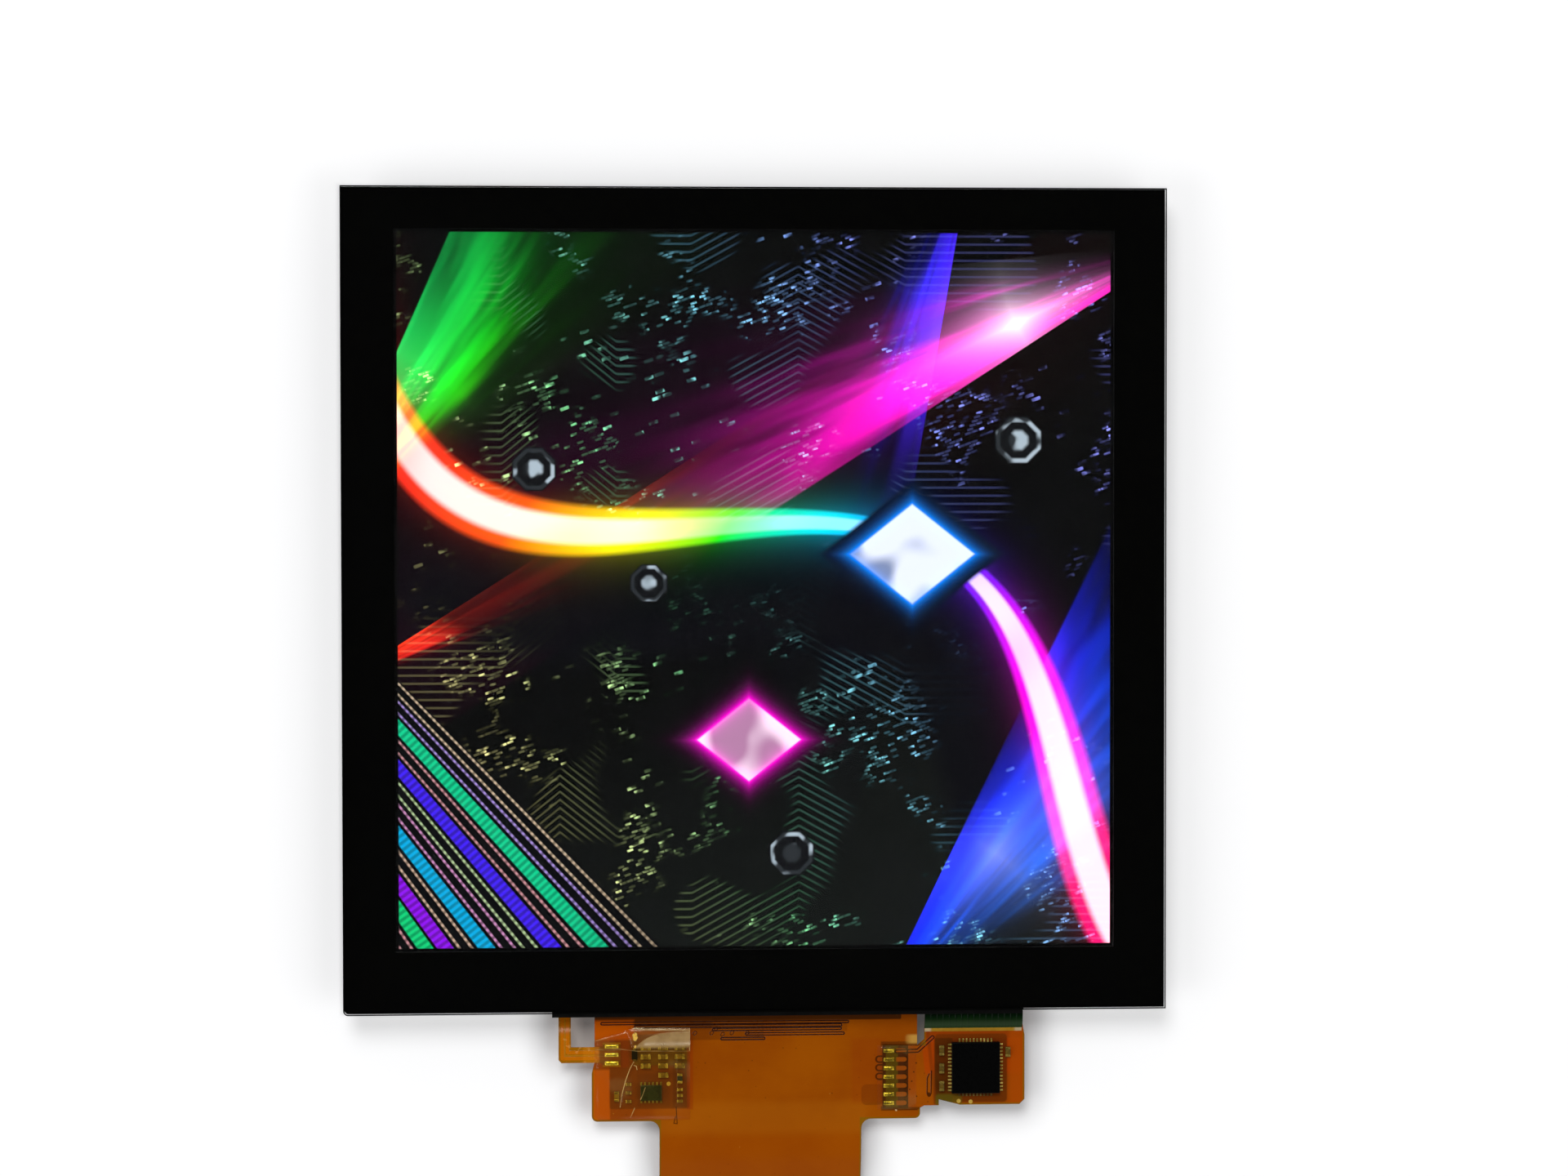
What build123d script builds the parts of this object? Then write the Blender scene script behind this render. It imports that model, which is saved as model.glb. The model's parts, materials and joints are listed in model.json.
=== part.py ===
from build123d import *
from math import atan2, cos, sin
import os

os.makedirs("parts", exist_ok=True)

# Square liquid-crystal display module with a bonded touch lens, lying on its back.
# The origin is the middle of the picture on the tray's back face. +Z leaves the screen,
# +Y runs to the top edge of the picture and the flex circuits leave towards -Y.

# Picture and cover lens
picture_side = 71.93
lens_side_margin = 5.54
lens_top_margin = 4.50
lens_bottom_margin = 6.57
lens_thickness = 1.10
lens_edge_break = 0.12
lens_top_left_radius = 0.30
lens_top_right_radius = 0.60
lens_bottom_left_radius = 0.50
lens_bottom_right_radius = 1.70
window_gap = 0.30
print_inset = 0.10

# Layers, from the back to the front
tray_sheet = 0.20
reflector_thickness = 0.08
light_guide_thickness = 0.60
film_thickness = 0.08
rim_tape_thickness = 0.06
rear_polarizer_thickness = 0.12
glass_thickness = 0.40
cell_gap = 0.05
front_polarizer_thickness = 0.15
gasket_thickness = 0.30
sensor_thickness = 0.25
adhesive_thickness = 0.10
print_thickness = 0.05

# Fits between neighbours
film_play = 0.10
glass_play = 0.10
tray_play = 0.05
level_play = 0.02

# Backlight
guide_side_margin = 0.535
guide_bottom_margin = 1.585
guide_ear_width = 3.00
guide_ear_reach = 0.60
guide_ear_height = 22.0
led_count = 9
led_length = 3.00
led_depth = 0.85
led_height = 0.62
led_gap = 0.05
led_window_wall = 0.15
led_window_depth = 0.25
led_strip_end_gap = 3.10
led_end_gap = 1.60
led_strip_overlap = 0.35
led_strip_depth = 2.80
rib_width = 2.00

# Mould frame and tray
rail_width = 0.35
frame_wall_height = 0.04
snap_length = 3.60
snap_height = 0.50
snap_reach = 0.15
snap_level = 1.00
snap_window_play = 0.20
side_snap_spacing = 25.0
top_snap_spacing = 40.0
tray_wall_height = 1.90
tray_exit_height = 1.60
tray_bend_radius = 0.04
tray_corner_gap = 0.60

# Glass cell
glass_side_margin = 1.335
polarizer_side_margin = 0.785
filter_glass_foot = 2.235
contact_ledge = 3.00
seal_inset = 0.20
seal_width = 0.80
gasket_inner_margin = 0.335
gasket_width = 1.40
gasket_foot = 2.00
tape_inner_margin = 0.235
tape_width = 1.00
driver_length = 24.0
driver_width = 1.00
driver_height = 0.25
driver_ledge_gap = 0.50
driver_tape_margin = 0.25
driver_tape_thickness = 0.05

# Touch sensor
sensor_side_inset = 1.50
sensor_bottom_inset = 1.10
adhesive_inset = 0.30
shield_left = -20.64
shield_right = 26.94
shield_below_lens = 0.50
shield_thickness = 0.10
shield_gap = 0.20

# Flex circuits
flex_thickness = 0.12
section_spare = 1.00
same_place = 0.001
flex_bond = 1.15
touch_bond = 1.50

# Main flex, whose reaches are measured down from the lens's bottom edge
main_left = -16.36
main_right = 16.39
lobe_growth = 0.30
lobe_shoulder_reach = 5.20
lobe_shoulder = 1.20
lobe_reach = 11.27
lobe_corner = 0.55
root_radius = 1.00
contact_count = 40
contact_pitch = 0.50
contact_width = 0.35
contact_length = 3.50
contact_height = 0.02
contact_side_margin = 0.50
tail_middle = 0.44
tail_reach = 36.0
tail_bend_reach = 11.90
tail_bend_run = 9.00
contact_stiffener_thickness = 0.18
contact_stiffener_length = 6.00

# Backlight flex
led_limb_left = -20.00
led_limb_width = 1.25
led_limb_play = 0.30
led_bend_reach = 0.10
led_bend_run = 3.10
led_arm_reach = 3.67
led_arm_width = 1.60
led_arm_corner = 0.30
led_tip_left = -15.55
led_tip_right = -13.73
led_tip_margin = 0.44
led_joint_length = 1.37
led_joint_pitch = 0.855

# Touch flex
touch_left = 17.10
touch_right = 27.10
touch_tab_growth = 0.25
touch_bend_reach = 0.40
touch_bend_run = 2.40
cover_film_thickness = 0.03
ground_bar_reach = 2.06
ground_bar_width = 0.35
ground_bar_inset = 0.05
touch_tab_reach = 9.92
touch_tab_corner = 0.52
touch_slot_reach = 3.17
touch_slot_slant = 0.63
limb_left = 12.84
limb_top_reach = 3.70
limb_bottom_reach = 10.32
limb_toe = 16.46
limb_toe_rise = 0.36
notch_left = 18.59
notch_middle = 19.55
notch_right = 20.76
notch_depth = 0.57
notch_lift = 0.31
touch_stiffener_inset = 0.60
touch_stiffener_thickness = 0.18
touch_joint_count = 7
touch_joint_pitch = 0.888
touch_joint_length = 1.06
touch_joint_inset = 0.12
joint_width = 0.42
joint_height = 0.12
joint_corner = 0.12
joint_slope_angle = 25

# Chips and small parts
controller_length = 4.90
controller_width = 5.20
controller_height = 0.60
controller_x = 22.33
controller_reach = 6.10
controller_edge = 0.05
pin_pitch = 0.36
pin_count_across = 10
pin_count_down = 14
pin_reach = 0.35
pin_width = 0.17
pin_height = 0.10
power_length = 2.15
power_width = 1.55
power_height = 0.50
power_pin_pitch = 0.40
power_pin_count = 6
power_pin_reach = 0.28
power_pin_width = 0.20
large_chip = (1.00, 0.50, 0.35, 0.25)
small_chip = (0.60, 0.30, 0.28, 0.15)
diode_chip = (0.95, 0.58, 0.45, 0.02)
diode_lead = 0.18
test_pad_radius = 0.21
test_pad_height = 0.02

# Places of the small parts, from the main flex's left edge and the lens's bottom edge
chip_columns = (5.16, 6.92, 8.61)
chip_first_reach = 3.78
chip_row_pitch = 0.92
chip_row_count = 3
extra_capacitor = (6.94, 6.57)
resistor_place = (8.61, 6.92)
small_right_column = 8.61
small_right_reach = 8.08
small_right_pitch = 0.58
small_left_column = 3.41
small_left_reach = 7.48
small_left_pitch = 0.87
small_count = 3
side_capacitor = (2.21, 8.70)
diode_place = (4.03, 4.46)
power_place = (5.70, 8.35)
test_pad_place = (7.48, 7.49)
touch_capacitor_column = 1.77
touch_capacitor_reaches = (4.33, 6.17, 7.97)
touch_far_capacitor = (8.53, 4.54)
touch_pad_places = ((3.52, 9.54), (4.74, 9.62))
component_stiffener_side = 1.56
component_stiffener_width = 8.00
component_stiffener_top_reach = 2.60
component_stiffener_height = 7.30
component_stiffener_thickness = 0.20

# Protective tapes
film_tape_thickness = 0.05
tape_left_inset = 0.06
tape_right = 9.66
tape_peak = 4.37
tape_top_reach = 1.62
tape_left_top_reach = 2.94
tape_bottom_inset = 0.10
tape_flange = 0.25
tape_rise = 0.75
tape_slope_angle = 30
joint_tape_left = 0.55
joint_tape_right = 3.45
joint_tape_inset = 0.16
joint_tape_rise = 0.20
joint_tape_flange = 0.15
joint_tape_slope_angle = 35

# Levels of the stack
reflector_top = tray_sheet + reflector_thickness
guide_top = reflector_top + light_guide_thickness
diffuser_top = guide_top + film_thickness
lower_prism_top = diffuser_top + film_thickness
films_top = lower_prism_top + film_thickness
rim_tape_top = films_top + rim_tape_thickness
rear_polarizer_top = rim_tape_top + rear_polarizer_thickness
tft_top = rear_polarizer_top + glass_thickness
cell_top = tft_top + cell_gap
filter_top = cell_top + glass_thickness
front_polarizer_top = filter_top + front_polarizer_thickness
gasket_top = front_polarizer_top + gasket_thickness
sensor_top = gasket_top + sensor_thickness
adhesive_top = sensor_top + adhesive_thickness
print_top = adhesive_top + print_thickness

# Outlines of the stack
half_picture = picture_side / 2
lens_right = half_picture + lens_side_margin
lens_top = half_picture + lens_top_margin
lens_bottom = -half_picture - lens_bottom_margin
guide_half = half_picture + guide_side_margin
guide_bottom = -half_picture - guide_bottom_margin
glass_half = half_picture + glass_side_margin
filter_bottom = -half_picture - filter_glass_foot
tft_bottom = filter_bottom - contact_ledge
frame_inner = guide_half + film_play
lip_inner = glass_half + glass_play
lip_bottom = tft_bottom - glass_play
frame_half = lip_inner + rail_width
frame_bottom = lip_bottom - rail_width
tray_half = frame_half + tray_play + tray_sheet
tray_bottom = frame_bottom - tray_play - tray_sheet
sensor_half = lens_right - sensor_side_inset
sensor_bottom = lens_bottom + sensor_bottom_inset
led_front = guide_bottom - led_gap
led_back = led_front - led_depth
led_strip_half_length = frame_inner - led_strip_end_gap
led_pitch = (2 * (led_strip_half_length - led_end_gap) - led_length) / (led_count - 1)
led_strip_top = guide_bottom + led_strip_overlap
led_strip_bottom = led_strip_top - led_strip_depth
bar_top = led_back - film_play

# Levels and edges of the flex circuits
led_flex_level = films_top - flex_thickness
led_bottom = led_flex_level - led_height
main_flex_top = tft_top + flex_thickness
surface_top = main_flex_top + flex_thickness
touch_flex_level = gasket_top - flex_thickness
lobe_left = main_left - lobe_growth
lobe_right = main_right + lobe_growth
lobe_shoulder_y = lens_bottom - lobe_shoulder_reach
lobe_end = lens_bottom - lobe_reach
tail_width = (contact_count - 1) * contact_pitch + 2 * contact_side_margin
tail_left = tail_middle - tail_width / 2
tail_right = tail_middle + tail_width / 2
tail_end = lens_bottom - tail_reach
led_limb_right = led_limb_left + led_limb_width
led_arm_top = lens_bottom - led_arm_reach
led_arm_bottom = led_arm_top - led_arm_width
led_arm_middle = (led_arm_top + led_arm_bottom) / 2
led_tip_middle = (led_tip_left + led_tip_right) / 2
touch_tab_right = touch_right + touch_tab_growth
touch_tab_bottom = lens_bottom - touch_tab_reach
limb_top = lens_bottom - limb_top_reach
limb_bottom = lens_bottom - limb_bottom_reach
controller_y = lens_bottom - controller_reach


def course_edge(course, lift, begin, end):
    # One face of a flex in side view: a run, two equal tangent arcs and a second run.
    bend_start, bend_run, level, drop = course
    way = 1 if drop > 0 else -1
    radius = (bend_run**2 + drop**2) / (4 * abs(drop))
    turn = 2 * atan2(abs(drop), bend_run)
    reach = radius + way * lift
    crossing = (bend_start - reach * sin(turn), level - way * radius + way * reach * cos(turn))
    first_run = Line((begin, level + lift), (bend_start, level + lift))
    first_arc = TangentArc(first_run @ 1, crossing, tangent=first_run % 1)
    second_end = (bend_start - bend_run, level - drop + lift)
    second_arc = TangentArc(first_arc @ 1, second_end, tangent=first_arc % 1)
    Line(second_arc @ 1, (end, level - drop + lift))


def side_view(course, low, high, plan):
    # Section of a formed sheet, between two heights above the flex's underside.
    box = plan.bounding_box()
    bend_start, bend_run, level, drop = course
    begin = max(box.max.Y, bend_start) + section_spare
    end = min(box.min.Y, bend_start - bend_run) - section_spare
    with BuildSketch(Plane.YZ.offset(box.min.X)) as section:
        with BuildLine():
            course_edge(course, low, begin, end)
            course_edge(course, high, begin, end)
            Line((begin, level + low), (begin, level + high))
            Line((end, level - drop + low), (end, level - drop + high))
        make_face()
    return section.sketch


def block(left, right, bottom, top, low, high, mode=Mode.ADD):
    # A plain block between six planes.
    with Locations(((left + right) / 2, (bottom + top) / 2, low)):
        Box(
            right - left,
            top - bottom,
            high - low,
            align=(Align.CENTER, Align.CENTER, Align.MIN),
            mode=mode,
        )


def chip_bodies(places, size, level):
    # Ceramic middles of surface-mounted parts; each place is x, y and turn.
    length, width, height, cap = size
    for x, y, turn in places:
        with Locations(Location((x, y, level), (0, 0, turn))):
            Box(length - 2 * cap, width, height, align=(Align.CENTER, Align.CENTER, Align.MIN))


def chip_ends(places, size, level):
    # Plated ends of the same parts.
    length, width, height, cap = size
    for x, y, turn in places:
        with Locations(Location((x, y, level), (0, 0, turn))):
            with GridLocations(length - cap, 1, 2, 1):
                Box(cap, width, height, align=(Align.CENTER, Align.CENTER, Align.MIN))


def lead_row(x, y, turn, count, pitch, distance, width, reach, level):
    # Two facing rows of flat leads, one each side of a chip.
    with Locations(Location((x, y, level), (0, 0, turn))):
        with GridLocations(pitch, 2 * distance + reach, count, 2):
            Box(width, reach, pin_height, align=(Align.CENTER, Align.CENTER, Align.MIN))


def from_main_flex(place):
    # A place on the main flex, from its left edge and the lens's bottom edge.
    return (main_left + place[0], lens_bottom - place[1])


def from_touch_flex(place):
    # The same for the touch flex.
    return (touch_left + place[0], lens_bottom - place[1])


# Side views: where the bend starts, its run, the underside's level and its drop
main_course = (lens_bottom - tail_bend_reach, tail_bend_run, tft_top, tft_top - contact_stiffener_thickness)
led_course = (
    lens_bottom + led_bend_reach,
    led_bend_run,
    led_flex_level,
    led_flex_level - main_flex_top,
)
touch_course = (
    lens_bottom - touch_bend_reach,
    touch_bend_run,
    touch_flex_level,
    touch_flex_level - main_flex_top,
)

# Places of the snap hooks on the frame, with x out of the wall and y up
snap_planes = [
    Plane(origin=(side * frame_half, y, snap_level), x_dir=(side, 0, 0), z_dir=(0, -side, 0))
    for side in (-1, 1)
    for y in (-side_snap_spacing, 0, side_snap_spacing)
] + [
    Plane(origin=(x, frame_half, snap_level), x_dir=(0, 1, 0), z_dir=(1, 0, 0))
    for x in (-top_snap_spacing / 2, top_snap_spacing / 2)
]

# Places of the light guide's ears
ear_places = [(side * guide_half, y) for side in (-1, 1) for y in (-guide_ear_height, guide_ear_height)]


# Outline of the cover lens, each corner with its own radius
with BuildSketch() as lens_plan:
    with Locations((0, (lens_top + lens_bottom) / 2)):
        Rectangle(2 * lens_right, lens_top - lens_bottom)
    low_corners = lens_plan.vertices().group_by(Axis.Y)[0].sort_by(Axis.X)
    high_corners = lens_plan.vertices().group_by(Axis.Y)[-1].sort_by(Axis.X)
    fillet(low_corners[0], lens_bottom_left_radius)
    fillet(low_corners[1], lens_bottom_right_radius)
    fillet(high_corners[0], lens_top_left_radius)
    fillet(high_corners[1], lens_top_right_radius)

# Outline of the main flex: a wide body, two lobes and the connector tail
with BuildSketch() as main_flex_plan:
    with BuildLine():
        Polyline(
            (main_left, tft_bottom + flex_bond),
            (main_left, lobe_shoulder_y),
            (lobe_left, lobe_shoulder_y - lobe_shoulder),
            (lobe_left, lobe_end),
            (tail_left, lobe_end),
            (tail_left, tail_end),
            (tail_right, tail_end),
            (tail_right, lobe_end),
            (lobe_right, lobe_end),
            (lobe_right, lobe_shoulder_y - lobe_shoulder),
            (main_right, lobe_shoulder_y),
            (main_right, tft_bottom + flex_bond),
            close=True,
        )
    make_face()
    lobe_line = main_flex_plan.vertices().filter_by(lambda corner: abs(corner.Y - lobe_end) < same_place)
    lobe_corners = lobe_line.sort_by(Axis.X)
    fillet(lobe_corners[1:3], root_radius)
    chamfer([lobe_corners[0], lobe_corners[3]], lobe_corner)

# Outline of the backlight flex: light strip, limb, arm and soldered tip
with BuildSketch() as led_flex_plan:
    with Locations((0, (led_strip_top + led_strip_bottom) / 2)):
        Rectangle(2 * led_strip_half_length, led_strip_depth)
    with Locations(((led_limb_left + led_limb_right) / 2, (led_strip_bottom + led_arm_bottom) / 2)):
        Rectangle(led_limb_width, led_strip_bottom - led_arm_bottom)
    with Locations(((led_limb_left + led_tip_left) / 2, led_arm_middle)):
        Rectangle(led_tip_left - led_limb_left, led_arm_width)
    with Locations((led_tip_middle, led_arm_middle)):
        Rectangle(led_tip_right - led_tip_left, led_arm_width + 2 * led_tip_margin)
    outer_corner = led_flex_plan.vertices().sort_by_distance((led_limb_left, led_arm_bottom))[0]
    chamfer(outer_corner, led_arm_corner)

# Outline of the touch flex: neck, chip tab with a notched foot, and a limb to the main flex
with BuildSketch() as touch_flex_plan:
    with BuildLine():
        Polyline(
            (touch_left, sensor_bottom + touch_bond),
            (touch_left, lens_bottom - touch_slot_reach),
            (main_right, lens_bottom - touch_slot_reach - touch_slot_slant),
            (limb_left, limb_top),
            (limb_left, limb_bottom),
            (limb_toe, limb_bottom),
            (touch_left, limb_bottom + limb_toe_rise),
            (notch_left, limb_bottom + limb_toe_rise),
            (notch_left, touch_tab_bottom + notch_depth),
            (notch_middle, touch_tab_bottom + notch_lift),
            (notch_right, touch_tab_bottom),
            (touch_tab_right, touch_tab_bottom),
            (touch_tab_right, lens_bottom - touch_bend_reach - touch_bend_run),
            (touch_right, lens_bottom - touch_bend_reach - touch_bend_run / 2),
            (touch_right, sensor_bottom + touch_bond),
            close=True,
        )
    make_face()
    tab_corner = touch_flex_plan.vertices().sort_by_distance((touch_tab_right, touch_tab_bottom))[0]
    chamfer(tab_corner, touch_tab_corner)

# Strip of the touch flex under the green cover film, and the bare bar below it
with BuildSketch() as touch_cover_plan:
    with Locations(((touch_left + touch_right) / 2, lens_bottom - ground_bar_reach)):
        Rectangle(
            touch_right - touch_left,
            sensor_bottom - shield_gap - lens_bottom + ground_bar_reach,
            align=(Align.CENTER, Align.MIN),
        )
with BuildSketch() as ground_bar_plan:
    with Locations(((touch_left + touch_right) / 2, lens_bottom - ground_bar_reach)):
        Rectangle(
            touch_right - touch_left - 2 * ground_bar_inset,
            ground_bar_width,
            align=(Align.CENTER, Align.MAX),
        )

# Outline of the amber tape over the small parts, cut by hand and laid a little askew
with BuildSketch() as component_tape_plan:
    with BuildLine():
        Polyline(
            (main_left + tape_left_inset, lobe_end + tape_bottom_inset),
            (main_left + tape_right, lobe_end + tape_bottom_inset),
            (main_left + tape_right, lens_bottom - tape_top_reach),
            (main_left + tape_peak, lens_bottom - tape_top_reach),
            (main_left + tape_left_inset, lens_bottom - tape_left_top_reach),
            close=True,
        )
    make_face()

# Front glass, its black border print and the adhesive that carries them
with BuildPart() as cover_glass:
    with BuildSketch(Plane.XY.offset(print_top)):
        add(lens_plan.sketch)
    extrude(amount=lens_thickness)
    chamfer(cover_glass.faces().sort_by(Axis.Z)[-1].edges(), lens_edge_break)

with BuildPart() as border_print:
    with BuildSketch(Plane.XY.offset(adhesive_top)):
        add(lens_plan.sketch)
        offset(amount=-print_inset, mode=Mode.REPLACE)
        Rectangle(picture_side + 2 * window_gap, picture_side + 2 * window_gap, mode=Mode.SUBTRACT)
    extrude(amount=print_thickness)

with BuildPart() as lens_adhesive:
    block(
        adhesive_inset - sensor_half,
        sensor_half - adhesive_inset,
        sensor_bottom + adhesive_inset,
        lens_top - sensor_side_inset - adhesive_inset,
        sensor_top,
        adhesive_top,
    )
    window_half = half_picture + window_gap
    block(-window_half, window_half, -window_half, window_half, adhesive_top, print_top)

with BuildPart() as touch_sensor:
    block(-sensor_half, sensor_half, sensor_bottom, lens_top - sensor_side_inset, gasket_top, sensor_top)

with BuildPart() as gasket_tape:
    with BuildSketch(Plane.XY.offset(front_polarizer_top)):
        inner_half = half_picture + gasket_inner_margin
        with Locations((0, inner_half + gasket_width)):
            Rectangle(
                2 * (inner_half + gasket_width),
                picture_side + gasket_inner_margin + gasket_width + gasket_foot,
                align=(Align.CENTER, Align.MAX),
            )
        Rectangle(2 * inner_half, 2 * inner_half, mode=Mode.SUBTRACT)
    extrude(amount=gasket_thickness)

# Glass cell: two polarizers, two glasses, the seal and the liquid crystal between them
polarizer_half = half_picture + polarizer_side_margin
with BuildPart() as front_polarizer:
    with Locations((0, 0, filter_top)):
        Box(
            2 * polarizer_half,
            2 * polarizer_half,
            front_polarizer_thickness,
            align=(Align.CENTER, Align.CENTER, Align.MIN),
        )

with BuildPart() as color_filter_glass:
    block(-glass_half, glass_half, filter_bottom, glass_half, cell_top, filter_top)

seal_half = glass_half - seal_inset
seal_bottom = filter_bottom + seal_inset
with BuildPart() as cell_seal:
    block(-seal_half, seal_half, seal_bottom, seal_half, tft_top, cell_top)
    block(
        seal_width - seal_half,
        seal_half - seal_width,
        seal_bottom + seal_width,
        seal_half - seal_width,
        tft_top,
        cell_top,
        mode=Mode.SUBTRACT,
    )

with BuildPart() as liquid_crystal:
    block(
        seal_width - seal_half,
        seal_half - seal_width,
        seal_bottom + seal_width,
        seal_half - seal_width,
        tft_top,
        cell_top,
    )

with BuildPart() as tft_glass:
    block(-glass_half, glass_half, tft_bottom, glass_half, rear_polarizer_top, tft_top)

with BuildPart() as rear_polarizer:
    with Locations((0, 0, rim_tape_top)):
        Box(
            2 * polarizer_half,
            2 * polarizer_half,
            rear_polarizer_thickness,
            align=(Align.CENTER, Align.CENTER, Align.MIN),
        )

# Driver chip on the glass ledge, with its light shield
driver_top = filter_bottom - driver_ledge_gap
with BuildPart() as driver_ic:
    block(
        -driver_length / 2,
        driver_length / 2,
        driver_top - driver_width,
        driver_top,
        tft_top,
        tft_top + driver_height,
    )

with BuildPart() as driver_ic_tape:
    block(
        -driver_length / 2 - driver_tape_margin,
        driver_length / 2 + driver_tape_margin,
        driver_top - driver_width - driver_tape_margin,
        driver_top + driver_tape_margin,
        tft_top + driver_height,
        tft_top + driver_height + driver_tape_thickness,
    )

# Backlight films, from the rim tape down to the reflector
tape_half = half_picture + tape_inner_margin
with BuildPart() as rim_tape:
    block(
        -tape_half - tape_width,
        tape_half + tape_width,
        led_strip_bottom,
        tape_half + tape_width,
        films_top,
        rim_tape_top,
    )
    block(-tape_half, tape_half, -tape_half, tape_half, films_top, rim_tape_top, mode=Mode.SUBTRACT)

film_bottom = led_strip_top + film_play
with BuildPart() as upper_prism_film:
    block(-guide_half, guide_half, film_bottom, guide_half, lower_prism_top, films_top)

with BuildPart() as lower_prism_film:
    block(-guide_half, guide_half, film_bottom, guide_half, diffuser_top, lower_prism_top)

with BuildPart() as diffuser_film:
    block(-guide_half, guide_half, film_bottom, guide_half, guide_top, diffuser_top)

with BuildPart() as light_guide:
    block(-guide_half, guide_half, guide_bottom, guide_half, reflector_top, guide_top)
    for x, y in ear_places:
        block(
            x - guide_ear_reach,
            x + guide_ear_reach,
            y - guide_ear_width / 2,
            y + guide_ear_width / 2,
            reflector_top,
            guide_top,
        )

with BuildPart() as reflector_film:
    block(-guide_half, guide_half, guide_bottom, guide_half, tray_sheet, reflector_top)

# Moulded frame: rails round the glass, ledges under it, pockets for the lights and ears
ledge_top = films_top
shelf_top = rear_polarizer_top - level_play
with BuildPart() as mould_frame:
    block(-frame_half, frame_half, frame_bottom, frame_half, tray_sheet, front_polarizer_top)
    block(
        -lip_inner,
        lip_inner,
        lip_bottom,
        lip_inner,
        ledge_top,
        front_polarizer_top,
        mode=Mode.SUBTRACT,
    )
    block(-frame_inner, frame_inner, bar_top, frame_inner, tray_sheet, ledge_top, mode=Mode.SUBTRACT)
    # The bar under the light strip lies lower, and its outer shelf carries the glass ledge.
    block(
        -frame_inner,
        frame_inner,
        led_strip_bottom - film_play,
        bar_top,
        led_flex_level - level_play,
        ledge_top,
        mode=Mode.SUBTRACT,
    )
    block(-frame_inner, frame_inner, lip_bottom, led_strip_bottom - film_play, ledge_top, shelf_top)
    # Ribs stand between the lights.
    with Locations((0, (bar_top + led_front) / 2, tray_sheet)):
        with GridLocations(led_pitch, 1, led_count - 1, 1):
            Box(
                rib_width,
                led_front - bar_top,
                led_flex_level - level_play - tray_sheet,
                align=(Align.CENTER, Align.CENTER, Align.MIN),
            )
    for x, y in ear_places:
        block(
            x - guide_ear_reach - film_play,
            x + guide_ear_reach + film_play,
            y - guide_ear_width / 2 - film_play,
            y + guide_ear_width / 2 + film_play,
            tray_sheet,
            guide_top + level_play,
            mode=Mode.SUBTRACT,
        )
    # The bottom rail is lowered where the main flex and the backlight limb pass.
    block(
        main_left - led_limb_play,
        main_right + led_limb_play,
        frame_bottom,
        lip_bottom,
        tft_top - frame_wall_height,
        front_polarizer_top,
        mode=Mode.SUBTRACT,
    )
    block(
        led_limb_left - led_limb_play,
        led_limb_right + led_limb_play,
        frame_bottom,
        led_strip_bottom,
        led_flex_level - level_play,
        front_polarizer_top,
        mode=Mode.SUBTRACT,
    )
    for place in snap_planes:
        with BuildSketch(place):
            with BuildLine():
                Polyline((0, 0), (snap_reach, 0), (0, snap_height), close=True)
            make_face()
        extrude(amount=snap_length / 2, both=True)

# Folded metal tray: open corners, hook windows and a low wall where the flexes leave
with BuildPart() as metal_tray:
    block(-tray_half, tray_half, tray_bottom, tray_half, 0, tray_wall_height)
    fillet(metal_tray.faces().sort_by(Axis.Z)[0].edges(), tray_sheet + tray_bend_radius)
    block(
        tray_sheet - tray_half,
        tray_half - tray_sheet,
        tray_bottom + tray_sheet,
        tray_half - tray_sheet,
        tray_sheet,
        tray_wall_height,
        mode=Mode.SUBTRACT,
    )
    block(
        -tray_half,
        tray_half,
        tray_bottom,
        tray_bottom + tray_sheet,
        tray_exit_height,
        tray_wall_height,
        mode=Mode.SUBTRACT,
    )
    block(
        led_limb_left - led_limb_play,
        led_limb_right + led_limb_play,
        tray_bottom,
        tray_bottom + tray_sheet,
        led_flex_level - level_play,
        tray_wall_height,
        mode=Mode.SUBTRACT,
    )
    for x in (-tray_half, tray_half):
        for y in (tray_bottom, tray_half):
            block(
                x - tray_corner_gap,
                x + tray_corner_gap,
                y - tray_corner_gap,
                y + tray_corner_gap,
                0,
                tray_wall_height,
                mode=Mode.SUBTRACT,
            )
    for place in snap_planes:
        with BuildSketch(place):
            with Locations((0, -snap_window_play)):
                Rectangle(
                    2 * (tray_play + tray_sheet),
                    snap_height + 2 * snap_window_play,
                    align=(Align.CENTER, Align.MIN),
                )
        extrude(amount=snap_length / 2 + snap_window_play, both=True, mode=Mode.SUBTRACT)

# Lights: housings hang from the strip and face the light guide's edge
window_height = led_height - 2 * led_window_wall
window_length = led_length - 2 * led_window_wall
with BuildPart() as led_housings:
    with Locations((0, led_back, led_bottom)):
        with GridLocations(led_pitch, 1, led_count, 1):
            Box(led_length, led_depth, led_height, align=(Align.CENTER, Align.MIN, Align.MIN))
    with Locations((0, led_front, led_bottom + led_window_wall)):
        with GridLocations(led_pitch, 1, led_count, 1):
            Box(
                window_length,
                led_window_depth,
                window_height,
                align=(Align.CENTER, Align.MAX, Align.MIN),
                mode=Mode.SUBTRACT,
            )

with BuildPart() as led_phosphors:
    with Locations((0, led_front, led_bottom + led_window_wall)):
        with GridLocations(led_pitch, 1, led_count, 1):
            Box(
                window_length,
                led_window_depth,
                window_height,
                align=(Align.CENTER, Align.MAX, Align.MIN),
            )

# The three formed flex circuits
with BuildPart() as main_flex:
    extrude(side_view(main_course, 0, flex_thickness, main_flex_plan.sketch), amount=lobe_right - lobe_left)
    extrude(main_flex_plan.sketch, amount=surface_top, mode=Mode.INTERSECT)

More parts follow.
